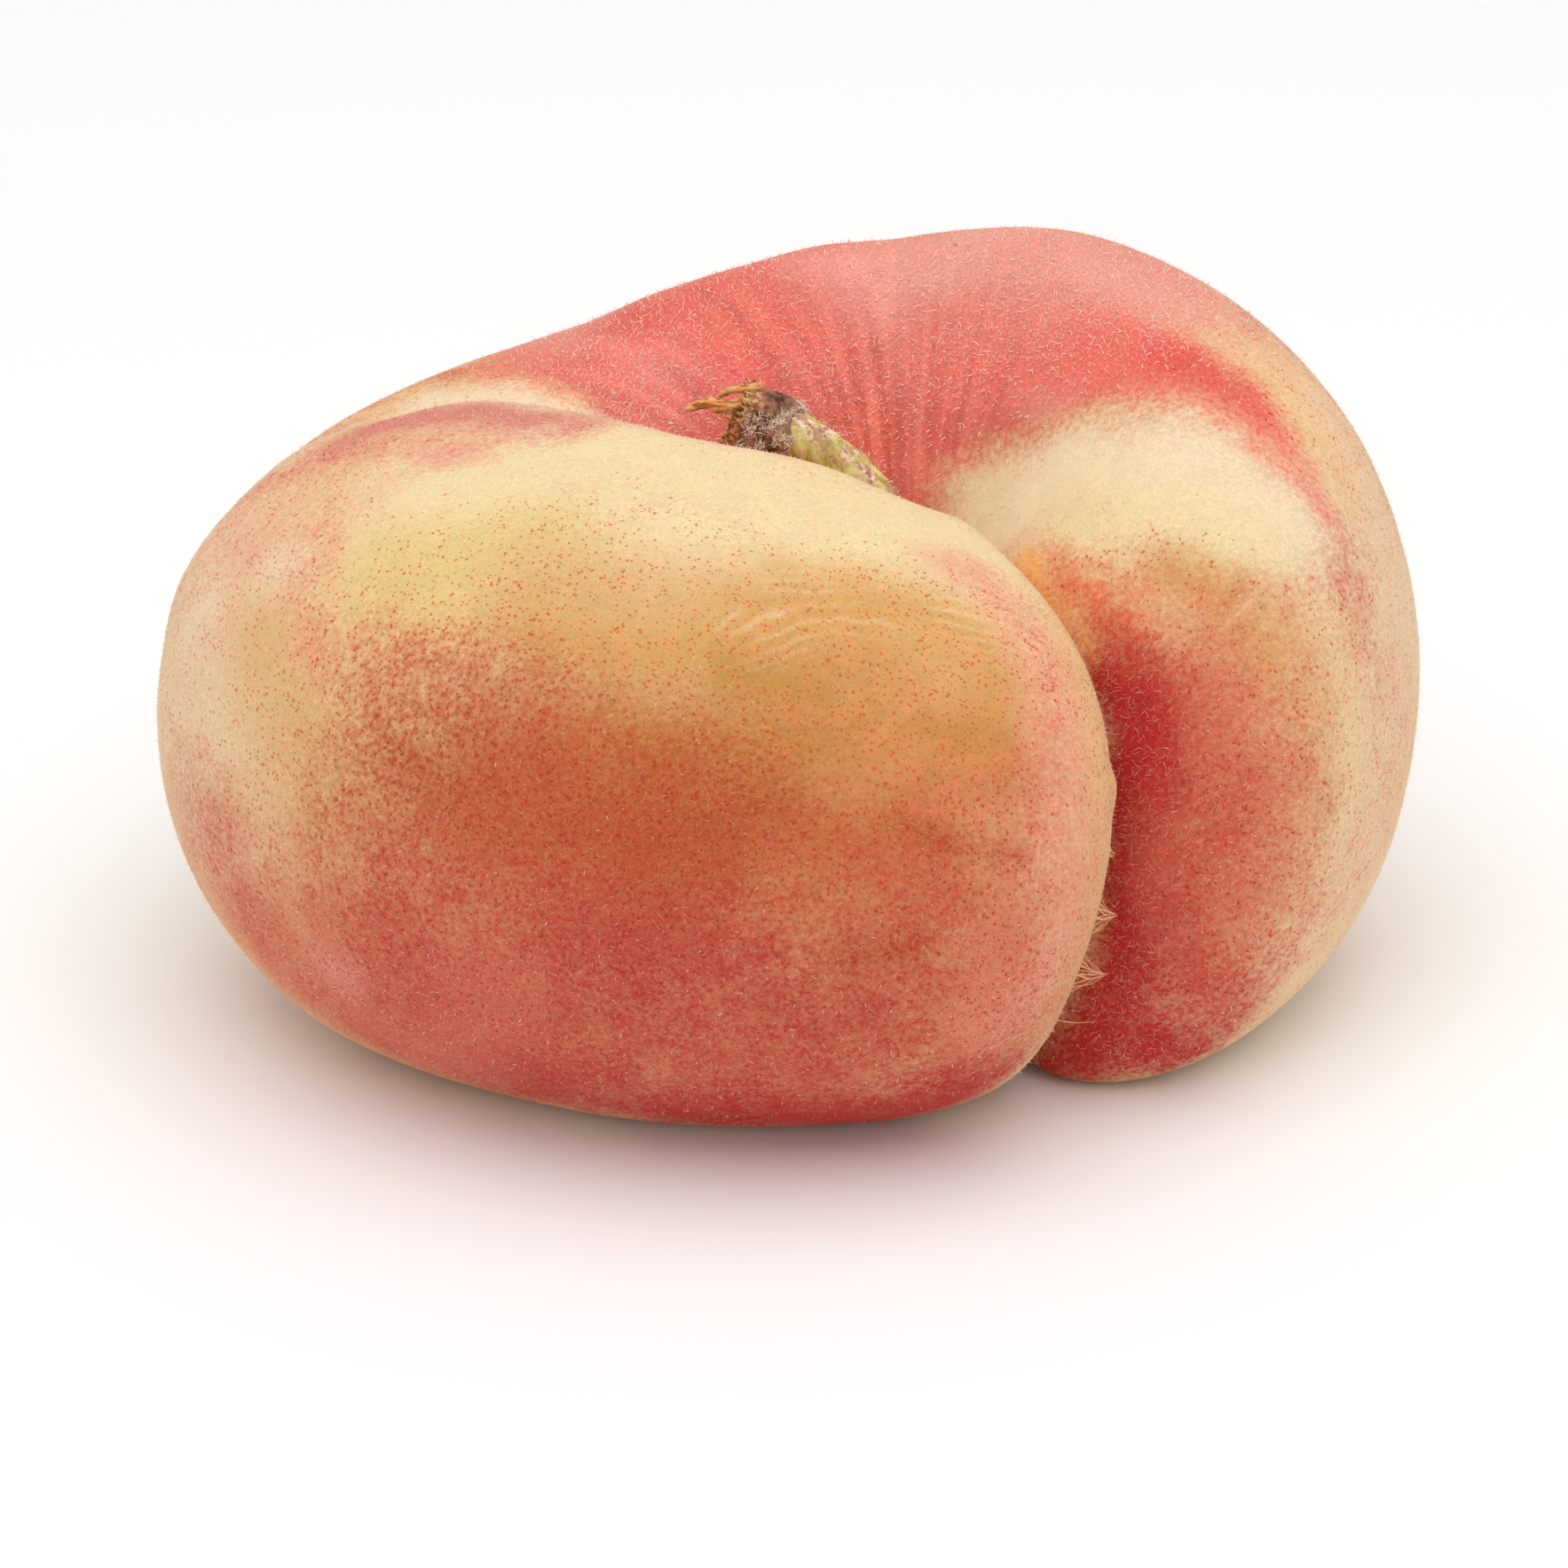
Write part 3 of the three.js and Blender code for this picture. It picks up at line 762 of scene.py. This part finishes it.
# The scurf flakes off in patches on the upper side, away from the foot
scurfy = smooth_step((up_stem - 0.20) / 0.3) * smooth_step(0.55 + layered(stem_places, (0.0010, 1.5, 53)))
scurfy *= smooth_step((stem_facing[:, 2] - 0.05) / 0.5)
stem_rise = ridge_height * stem_ridges + scurf_height * scurf + knuckle_height * knuckle
stem_rise += flake_height * scurfy * (0.5 + scurf)

# The foot spreads where it grows out of the fruit
foot_share, foot_width, foot_drop = 0.16, 0.0007, (0, 0, -0.0004)
foot_spread = smooth_step((foot_share - up_stem) / foot_share)
stem_rise += foot_width * foot_spread
reshape(stalk, stem_places + stem_rise[:, None] * stem_facing + np.outer(foot_spread, foot_drop))
keep(stalk.data, scurfy=scurfy, knuckle=knuckle, ridges=stem_ridges)

stem_green, light_green, ridge_cream = (0.50, 0.46, 0.07), (0.80, 0.72, 0.22), (0.84, 0.76, 0.38)
scurf_brown, scurf_pink = (0.45, 0.19, 0.10), (0.95, 0.76, 0.58)
crack_brown, knuckle_brown, stem_glow = (0.42, 0.19, 0.08), (0.30, 0.12, 0.05), (1.0, 0.8, 0.3)
stem_finish = Finish("green_stem", Roughness=0.6, Specular_IOR_Level=0.3,
                     Subsurface_Weight=0.1, Subsurface_Scale=0.001, Subsurface_Radius=stem_glow)
long_grain, grain_size, spot_size, stem_relief = (1, 1, 0.3), 0.0005, 0.00035, 0.00014
stem_grain = stem_finish.clouds(grain_size, 4.0, long_grain)
stem_spots = stem_finish.clouds(spot_size, 3.0)
stem_colour = stem_grain.step(0.35, 0.65).between(stem_green, light_green)
stem_colour = (0.5 * stem_finish.stored("ridges").step(0.05, 0.4)).between(stem_colour, ridge_cream)
scurf_colour = stem_spots.step(0.38, 0.62).between(scurf_brown, scurf_pink)
stem_colour = stem_finish.stored("scurfy").between(stem_colour, scurf_colour)
stem_cracks = (0.75 * stem_finish.stored("ridges").step(-0.08, -0.35)) * stem_spots.step(0.35, 0.6)
stem_colour = stem_cracks.between(stem_colour, crack_brown)
stem_colour = (0.85 * stem_finish.stored("knuckle")).between(stem_colour, knuckle_brown)
stem_finish.set(Base_Color=stem_colour,
                Normal=stem_finish.relief(0.5 * stem_grain + 0.5 * stem_spots, stem_relief))
dress(stalk, stem_finish, "stalk")


# ---- The scrap of twig ----
# The lump of old wood that tore off the branch with the stalk: dark brown bark round a hollow torn end with a
# ragged tan rim. The hollow is painted nearly black, a painted shade for its depth. It is grown on to the
# stalk.

scrap = quad_skin("twig_scrap", "torn_twig_scrap", 3)
refilled(scrap, "twig_scrap", (0.0004, 0, 0.0003), (0.0005, 0.0002, 0.0001))
wood_places, wood_facing = mesh_points(scrap.data)
scrap_low, scrap_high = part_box("twig_scrap")
scrap_middle = np.array((scrap_low + scrap_high) / 2)

# Its axis runs from where it joins the stalk, low on the right, to the middle of its torn end
joint_inset, torn_inset = (-0.0004, -0.0003, 0.0015), (0.0006, 0.0002, -0.0016)
joint_end = np.array((scrap_high.x, scrap_middle[1], scrap_low.z)) + joint_inset
torn_end = np.array((scrap_low.x, scrap_middle[1], scrap_high.z)) + torn_inset
up_wood = along_piece(wood_places, joint_end, torn_end)
wood_axis = (torn_end - joint_end) / np.linalg.norm(torn_end - joint_end)
beside = wood_places - joint_end - np.outer((wood_places - joint_end) @ wood_axis, wood_axis)
from_axis = np.linalg.norm(beside, axis=1)
rim = smooth_step((up_wood - 0.80) / 0.15)
hollow_radius, hollow_edge = 0.0011, 0.0004
inside = smooth_step((hollow_radius - from_axis) / hollow_edge) * smooth_step((up_wood - 0.5) / 0.2)
inside = np.maximum(inside, rim * ((wood_facing * beside).sum(1) < 0))
bark_height = 0.00015
bark = layered(wood_places, (0.0011, 1, 61), (0.0004, 0.5, 62))
tooth_width, tooth_height, rim_loss = 0.35, 0.0005, 0.0001
jagged = grown_noise(beside / np.maximum(from_axis, 1e-6)[:, None], tooth_width, 63)
wood_rise = bark_height * bark[:, None] * wood_facing * (1 - 0.6 * inside)[:, None]
wood_rise += np.outer(rim * (tooth_height * jagged - rim_loss), wood_axis)
reshape(scrap, wood_places + wood_rise)

# The torn crown, at the top on the left, and the paler bark near the stalk
crown_depth, crown_fade, past_middle, side_fade = 0.0010, 0.0005, 0.0005, 0.0008
crown = smooth_step((wood_places[:, 2] - scrap_high.z + crown_depth) / crown_fade)
crown = crown * smooth_step((scrap_middle[0] + past_middle - wood_places[:, 0]) / side_fade)
near_stalk = smooth_step((0.42 - up_wood + 0.2 * bark) / 0.35)
keep(scrap.data, rim=rim, inside=inside, bark=bark, crown=crown, near_stalk=near_stalk)

dark_bark, light_bark, stalk_bark = (0.09, 0.032, 0.018), (0.40, 0.19, 0.12), (0.50, 0.28, 0.18)
torn_brown, torn_tan, hollow_painted_shade = (0.28, 0.09, 0.03), (0.82, 0.50, 0.24), (0.06, 0.018, 0.010)
wood_grain_size, torn_grain_size, wood_relief = 0.0004, 0.0003, 0.00015
wood_finish = Finish("old_wood", Roughness=0.85, Specular_IOR_Level=0.2)
wood_grain = wood_finish.clouds(wood_grain_size, 4.0)
wood_shade = (wood_grain + 0.25 * wood_finish.stored("bark")).step(0.30, 0.75)
wood_colour = wood_shade.between(dark_bark, light_bark)
wood_colour = (0.45 * wood_finish.stored("near_stalk")).between(wood_colour, stalk_bark)
torn_shade = wood_finish.clouds(torn_grain_size, 3.0).step(0.35, 0.65)
torn_colour = torn_shade.between(torn_brown, torn_tan)
wood_colour = wood_finish.stored("rim").between(wood_colour, torn_colour)
wood_colour = (0.85 * wood_finish.stored("crown")).between(wood_colour, torn_colour)
# Painted shade: the hollow of the torn end is painted nearly black
wood_colour = (0.92 * wood_finish.stored("inside")).between(wood_colour, hollow_painted_shade)
wood_finish.set(Base_Color=wood_colour, Normal=wood_finish.relief(wood_grain, wood_relief))
dress(scrap, wood_finish, "twig_scrap")

# The fibres round its torn rim: thin strands that taper to their tips
chance = random.Random(7)


def add_strand(work, path, radius, sides=3):
    """A strand along a path of points, tapering from its root to its tip."""
    path = [Vector(point) for point in path]
    rings = []
    for step, point in enumerate(path[:-1]):
        run = (path[step + 1] - path[max(step - 1, 0)]).normalized()
        across = run.orthogonal().normalized()
        through = run.cross(across)
        thick = radius * (1 - step / len(path))
        turns = [2 * math.pi * side / sides for side in range(sides)]
        rings.append([work.verts.new(point + thick * (math.cos(a) * across + math.sin(a) * through))
                      for a in turns])
    tip = work.verts.new(path[-1])
    for lower, upper in zip(rings, rings[1:]):
        for side in range(sides):
            after = (side + 1) % sides
            work.faces.new((lower[side], lower[after], upper[after], upper[side]))
    for side in range(sides):
        work.faces.new((rings[-1][side], rings[-1][(side + 1) % sides], tip))
    work.faces.new(rings[0][::-1])


def random_way():
    """A direction of length 1, any way at all."""
    return Vector((chance.gauss(0, 1), chance.gauss(0, 1), chance.gauss(0, 1))).normalized()


def curly_path(start, way, length, curl, steps=5):
    """A path that sets off one way and curls round on itself."""
    axis = way.orthogonal().normalized()
    axis.rotate(Vector(way).to_track_quat("Z", "Y"))
    point, path = Vector(start), [Vector(start)]
    for _ in range(steps):
        way = (way + curl * axis.cross(way) + 0.25 * random_way()).normalized()
        point = point + length / steps * way
        path.append(point)
    return path


def finished_strands(name, work, finish):
    """Makes the strands one piece of the object."""
    bmesh.ops.recalc_face_normals(work, faces=work.faces)
    mesh = bpy.data.meshes.new(name)
    work.to_mesh(mesh)
    work.free()
    mesh.materials.append(finish.material)
    piece = stand(name, mesh)
    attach(piece, "root")


grown_wood, _ = mesh_points(scrap.data)
fibres = bmesh.new()
rim_points = [i for i in range(len(grown_wood)) if rim[i] > 0.6 and inside[i] < 0.5]
outward = Vector(wood_axis)
fibre_count, fibre_lengths, fibre_curl, fibre_radius = 40, (0.0003, 0.0009), 0.15, 0.00006
for _ in range(fibre_count):
    i = chance.choice(rim_points)
    way = (outward + 0.5 * Vector(beside[i]).normalized() + 0.5 * random_way()).normalized()
    path = curly_path(grown_wood[i], way, chance.uniform(*fibre_lengths), fibre_curl, 3)
    add_strand(fibres, path, fibre_radius, 4)

# Thicker splinters stand up from the higher part of the rim
upward = Vector((0, 0, 0.5))
splinter_count, splinter_lengths, splinter_curl, splinter_radius = 12, (0.0006, 0.0013), 0.12, 0.00020
splinter_root = 0.0004
for _ in range(splinter_count):
    i = chance.choice([i for i in rim_points if grown_wood[i][2] > torn_end[2]])
    way = (outward + upward + 0.35 * random_way()).normalized()
    start = Vector(grown_wood[i]) - splinter_root * outward
    path = curly_path(start, way, chance.uniform(*splinter_lengths), splinter_curl, 3)
    add_strand(fibres, path, splinter_radius, 5)
fibre_brown, fibre_tan, fibre_shade_size = (0.22, 0.07, 0.02), (0.85, 0.52, 0.22), 0.00045
fibre_finish = Finish("torn_fibre", Roughness=0.8, Specular_IOR_Level=0.2)
fibre_shades = fibre_finish.clouds(fibre_shade_size, 3.0).step(0.38, 0.62)
fibre_finish.set(Base_Color=fibre_shades.between(fibre_brown, fibre_tan))
finished_strands("rim_fibres", fibres, fibre_finish)


# ---- The torn strips of bark ----
# Two thin ragged strips of orange-brown bark that stick out sideways from the torn end of the scrap.

bark_brown, bark_orange, bark_tan = (0.40, 0.11, 0.03), (0.95, 0.50, 0.18), (0.80, 0.48, 0.20)
along_strip, fibre_size, bark_patch_size, bark_relief = (0.25, 1, 1), 0.00022, 0.0008, 0.00012
bark_finish = Finish("torn_bark", Roughness=0.75, Specular_IOR_Level=0.25)
bark_fibres = bark_finish.clouds(fibre_size, 4.0, along_strip)
bark_patches = bark_finish.clouds(bark_patch_size)
bark_colour = bark_fibres.step(0.32, 0.66).between(bark_brown, bark_orange)
bark_colour = (0.6 * bark_patches.step(0.5, 0.7)).between(bark_colour, bark_tan)
bark_finish.set(Base_Color=bark_colour, Normal=bark_finish.relief(bark_fibres, bark_relief))

# Each strip runs inward into the scrap, so that it starts from the torn wood
ragged_height, bend_length, bend = 0.00013, 0.0009, (0, 0.0001, 0.00018)
slack_low, slack_high = Vector((0, 0.0003, 0.0003)), Vector((0.0012, 0.0003, 0.0003))
for node, name, inward, lowered, seed in (("bark_strip_long", "torn_bark_long", 0.0012, 0, 71),
                                          ("bark_strip_short", "torn_bark_short", 0.0008, 0.0007, 73)):
    strip = quad_skin(node, name, 2)
    refilled(strip, node, (0, 0.0001, 0.0001 + lowered / 3), (inward, 0.0001, 0.0001 - lowered))
    strip_low, strip_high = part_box(node)
    strip_places, strip_facing = mesh_points(strip.data)
    ragged = layered(strip_places, (0.0007, 1, seed), (0.0003, 0.5, seed + 1))
    strip_rise = ragged_height * ragged[:, None] * strip_facing
    strip_rise += np.outer(grown_noise(strip_places * (1, 0, 0), bend_length, seed + 2), bend)
    reshape(strip, np.clip(strip_places + strip_rise, strip_low - slack_low, strip_high + slack_high))
    dress(strip, bark_finish, node)


# ---- The down ----
# The fine pale hairs that cover a peach, short on the front, thick in the cavity and long and curled in the
# cleft, and the coarser curls on the stalk and the old wood. Each is one tapering hair that grows out of its
# piece, leans its own way and curls over.

down_tree = bpy.data.node_groups.new("down", "GeometryNodeTree")
down_inputs = {}
for name, kind in (("Skin", "Geometry"), ("Hairs per square metre", "Float"), ("Length", "Float"),
                   ("Thickness", "Float"), ("Lean", "Float"), ("Curl", "Float"), ("Segments", "Int"),
                   ("Seed", "Int"), ("Finish", "Material")):
    made_input = down_tree.interface.new_socket(name, in_out="INPUT", socket_type="NodeSocket" + kind)
    down_inputs[name] = made_input.identifier
down_tree.interface.new_socket("Down", in_out="OUTPUT", socket_type="NodeSocketGeometry")
given = down_tree.nodes.new("NodeGroupInput").outputs


def grow(kind, settings, inputs, output=0):
    """Adds a node to the down's tree and returns one of its outputs."""
    made = down_tree.nodes.new(kind)
    for name, value in settings.items():
        setattr(made, name, value)
    for name, value in inputs.items():
        if isinstance(value, bpy.types.NodeSocket):
            down_tree.links.new(value, made.inputs[name])
        else:
            made.inputs[name].default_value = value
    return made.outputs[output]


def sum_of(operation, first, second):
    """One step of arithmetic on the numbers of each hair."""
    return grow("ShaderNodeMath", {"operation": operation}, {0: first, 1: second})


def chosen_between(kind, low, high, seed, output):
    """A random value for each hair."""
    inputs = {"Min": low, "Max": high, "Seed": seed}
    return grow("FunctionNodeRandomValue", {"data_type": kind}, inputs, output)


thickness_share = grow("GeometryNodeInputNamedAttribute", {"data_type": "FLOAT"}, {"Name": "down"})
density = sum_of("MULTIPLY", thickness_share, given["Hairs per square metre"])
scatter = down_tree.nodes.new("GeometryNodeDistributePointsOnFaces")
down_tree.links.new(given["Skin"], scatter.inputs["Mesh"])
down_tree.links.new(density, scatter.inputs["Density"])
down_tree.links.new(given["Seed"], scatter.inputs["Seed"])

single = grow("GeometryNodeMeshCone", {"fill_type": "NONE"},
              {"Vertices": 3, "Side Segments": given["Segments"], "Radius Top": 0.0,
               "Radius Bottom": sum_of("MULTIPLY", given["Thickness"], 0.5), "Depth": given["Length"]})
hair_point = grow("ShaderNodeSeparateXYZ", {}, {0: grow("GeometryNodeInputPosition", {}, {})}, 2)
curled = sum_of("MULTIPLY", sum_of("DIVIDE", hair_point, given["Length"]), given["Curl"])
curl_radius = sum_of("DIVIDE", given["Length"], given["Curl"])
bent_by = sum_of("MULTIPLY", curl_radius, sum_of("SUBTRACT", 1.0, sum_of("COSINE", curled, 0.0)))
dropped_by = sum_of("SUBTRACT", sum_of("MULTIPLY", curl_radius, sum_of("SINE", curled, 0.0)), hair_point)
bent = grow("GeometryNodeSetPosition", {},
            {"Geometry": single, "Offset": grow("ShaderNodeCombineXYZ", {}, {"X": bent_by, "Z": dropped_by})})

vector_output, float_output = 0, 1
leaning = chosen_between("FLOAT_VECTOR", (-1.0, -1.0, -1.0), (1.0, 1.0, 1.0), 1, vector_output)
leaning = grow("ShaderNodeVectorMath", {"operation": "SCALE"}, {0: leaning, "Scale": given["Lean"]})
growing = grow("ShaderNodeVectorMath", {"operation": "ADD"}, {0: scatter.outputs["Normal"], 1: leaning})
full_turn = 6.283
turn_lot = chosen_between("FLOAT", 0.0, full_turn, 2, float_output)
turned = grow("FunctionNodeEulerToRotation", {}, {0: grow("ShaderNodeCombineXYZ", {}, {"Z": turn_lot})})
standing = grow("FunctionNodeAlignRotationToVector", {"axis": "Z"}, {"Rotation": turned, "Vector": growing})
shortest, longest = 0.55, 1.45
placed = grow("GeometryNodeInstanceOnPoints", {},
              {"Points": scatter.outputs["Points"], "Instance": bent, "Rotation": standing,
               "Scale": chosen_between("FLOAT", shortest, longest, 3, float_output)})
plain = grow("GeometryNodeRealizeInstances", {}, {"Geometry": placed})
down_tree.links.new(grow("GeometryNodeSetMaterial", {}, {"Geometry": plain, "Material": given["Finish"]}),
                    down_tree.nodes.new("NodeGroupOutput").inputs["Down"])

# How thickly each growth of down stands on the skin: thin on cream skin, and none of it near the table
bare_height, bare_fade = 0.0012, 0.002
clear_of_table = smooth_step((places[:, 2] - bare_height) / bare_fade)
in_cavity = skin.stroke([(-16, 38, 80), (2, 40, 80), (18, 32, 74), (34, 26, 83), (48, 16, 88)], 36)
in_cleft = skin.stroke([(42, -20, 69), (52, -38, 63), (55, -50, 50), (55, -54, 34), (52, -56, 12)], 18)
on_front = skin.stroke([(-65, -45, 55), (-25, -80, 50), (30, -75, 50)], 72) * (1 - in_cavity) * (1 - in_cleft)
on_cream = 1 - 0.92 * np.maximum(skin.stroke(crest_line, 22), skin.stroke(window_line, 27, 0.6))
above_the_underside = smooth_step((facing[:, 2] + 0.8) / 0.4)
elsewhere = (1 - np.maximum(in_cavity, np.maximum(in_cleft, on_front))) * above_the_underside

# The grey hair of the scrap stands in clumps below its crown, and the stalk's is thin all over
clumped = smooth_step(0.5 + layered(wood_places, (0.0007, 2.4, 64)))
on_wood = clumped * (1 - inside) * smooth_step((up_wood + 0.15) / 0.1) * smooth_step((0.85 - up_wood) / 0.1)
bald_depth, bald_fade = 0.0008, 0.0004
on_wood *= smooth_step((scrap_high.z - bald_depth - grown_wood[:, 2]) / bald_fade)
all_over = np.ones(len(stem_places))
hair_grey, hair_white, grey_patch_size = (0.60, 0.43, 0.32), (1.0, 0.87, 0.71), 0.0005
grey_hair = Finish("grey_twig_hair", Roughness=0.7, Specular_IOR_Level=0.2)
grey_shades = grey_hair.clouds(grey_patch_size).step(0.35, 0.6)
grey_hair.set(Base_Color=grey_shades.between(hair_grey, hair_white))


def down_finish(name, colour):
    """One colour of down, from root to tip. Each hair is too thin to show a pattern."""
    return Finish(name, Base_Color=colour, Roughness=0.6, Specular_IOR_Level=0.25)


pale_down = down_finish("pale_down", (0.98, 0.80, 0.70))
pink_down = down_finish("pink_down", (1.0, 0.74, 0.63))
rosy_down = down_finish("rosy_down", (0.86, 0.42, 0.29))
skin_slot = "peach_skin"
for name, piece, slot, grows, per_square_mm, length, thickness, lean, curl, segments, finish, seed in (
    ("down_cavity", peach, skin_slot, in_cavity * on_cream * clear_of_table,
     17.0, 0.00040, 0.000062, 0.75, 1.7, 2, pink_down, 101),
    ("down_cleft", peach, skin_slot, in_cleft * clear_of_table,
     10.0, 0.00060, 0.00003, 0.9, 2.0, 2, rosy_down, 102),
    ("down_front", peach, skin_slot, on_front * (0.25 + 0.75 * cover) * on_cream * clear_of_table,
     6.0, 0.00036, 0.00003, 1.4, 1.8, 2, rosy_down, 103),
    ("down_back", peach, skin_slot, elsewhere * on_cream * clear_of_table,
     2.9, 0.00026, 0.00004, 1.0, 1.6, 2, pale_down, 104),
    ("twig_hair", scrap, "brown_wood", on_wood, 75.0, 0.00065, 0.000064, 0.8, 3.6, 4, grey_hair, 105),
    ("stalk_hair", stalk, "green_stalk", all_over, 8.0, 0.00045, 0.00004, 0.9, 2.2, 3, grey_hair, 106),
):
    sown = stand(name, piece.data.copy())
    stored = [each for each in sown.data.attributes if not each.is_required and not each.is_internal]
    for spare in [each.name for each in stored]:
        sown.data.attributes.remove(sown.data.attributes[spare])
    keep(sown.data, down=grows)
    sown.data.materials.clear()
    growth = sown.modifiers.new("down", "NODES")
    growth.node_group = down_tree
    square_mm_in_metre = 1e6
    for socket, value in (("Hairs per square metre", per_square_mm * square_mm_in_metre), ("Length", length),
                          ("Thickness", thickness), ("Lean", lean), ("Curl", curl), ("Segments", segments),
                          ("Seed", seed), ("Finish", finish.material)):
        growth[down_inputs[socket]] = value
    bpy.context.view_layer.update()
    grown_down = bpy.data.meshes.new_from_object(sown.evaluated_get(bpy.context.evaluated_depsgraph_get()))
    sown.modifiers.remove(growth)
    sown.data = grown_down
    hair_places, _ = mesh_points(grown_down)
    reshape(sown, np.clip(hair_places, fruit_low, fruit_high))
    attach(sown, "root")

# Three tufts of longer hair stand out from the edge of the front cheek across the cleft, with one long hair
# below. Each row is the tuft's heart, its count of hairs and how far they reach.
tufts = bmesh.new()
across_cleft, droop = Vector((0.85, -0.30, 0.35)), Vector((0, 0, 0.00012))
tip_spread, middle_spread, tuft_hair_radius, tuft_roots = 0.0001, 0.00018, 0.00004, 14
for heart, count, reach in (((47, -71, 34), 14, 0.0013), ((46, -71, 25), 14, 0.0011),
                            ((42, -76, 19), 1, 0.0022), ((48, -67, 42), 5, 0.0006)):
    root = on_fruit([heart])[0]
    roots = places[((places - root) ** 2).sum(1).argsort()[:tuft_roots]]
    for _ in range(count):
        start = Vector(roots[chance.randrange(tuft_roots)])
        tip = Vector(root) + reach * chance.uniform(0.7, 1.1) * across_cleft + tip_spread * random_way()
        sag = start.lerp(tip, 0.5) + middle_spread * random_way() - droop
        add_strand(tufts, [start, start.lerp(sag, 0.6), sag, sag.lerp(tip, 0.6), tip], tuft_hair_radius)
finished_strands("cleft_tufts", tufts, down_finish("cleft_tufts_hair", (0.90, 0.56, 0.32)))
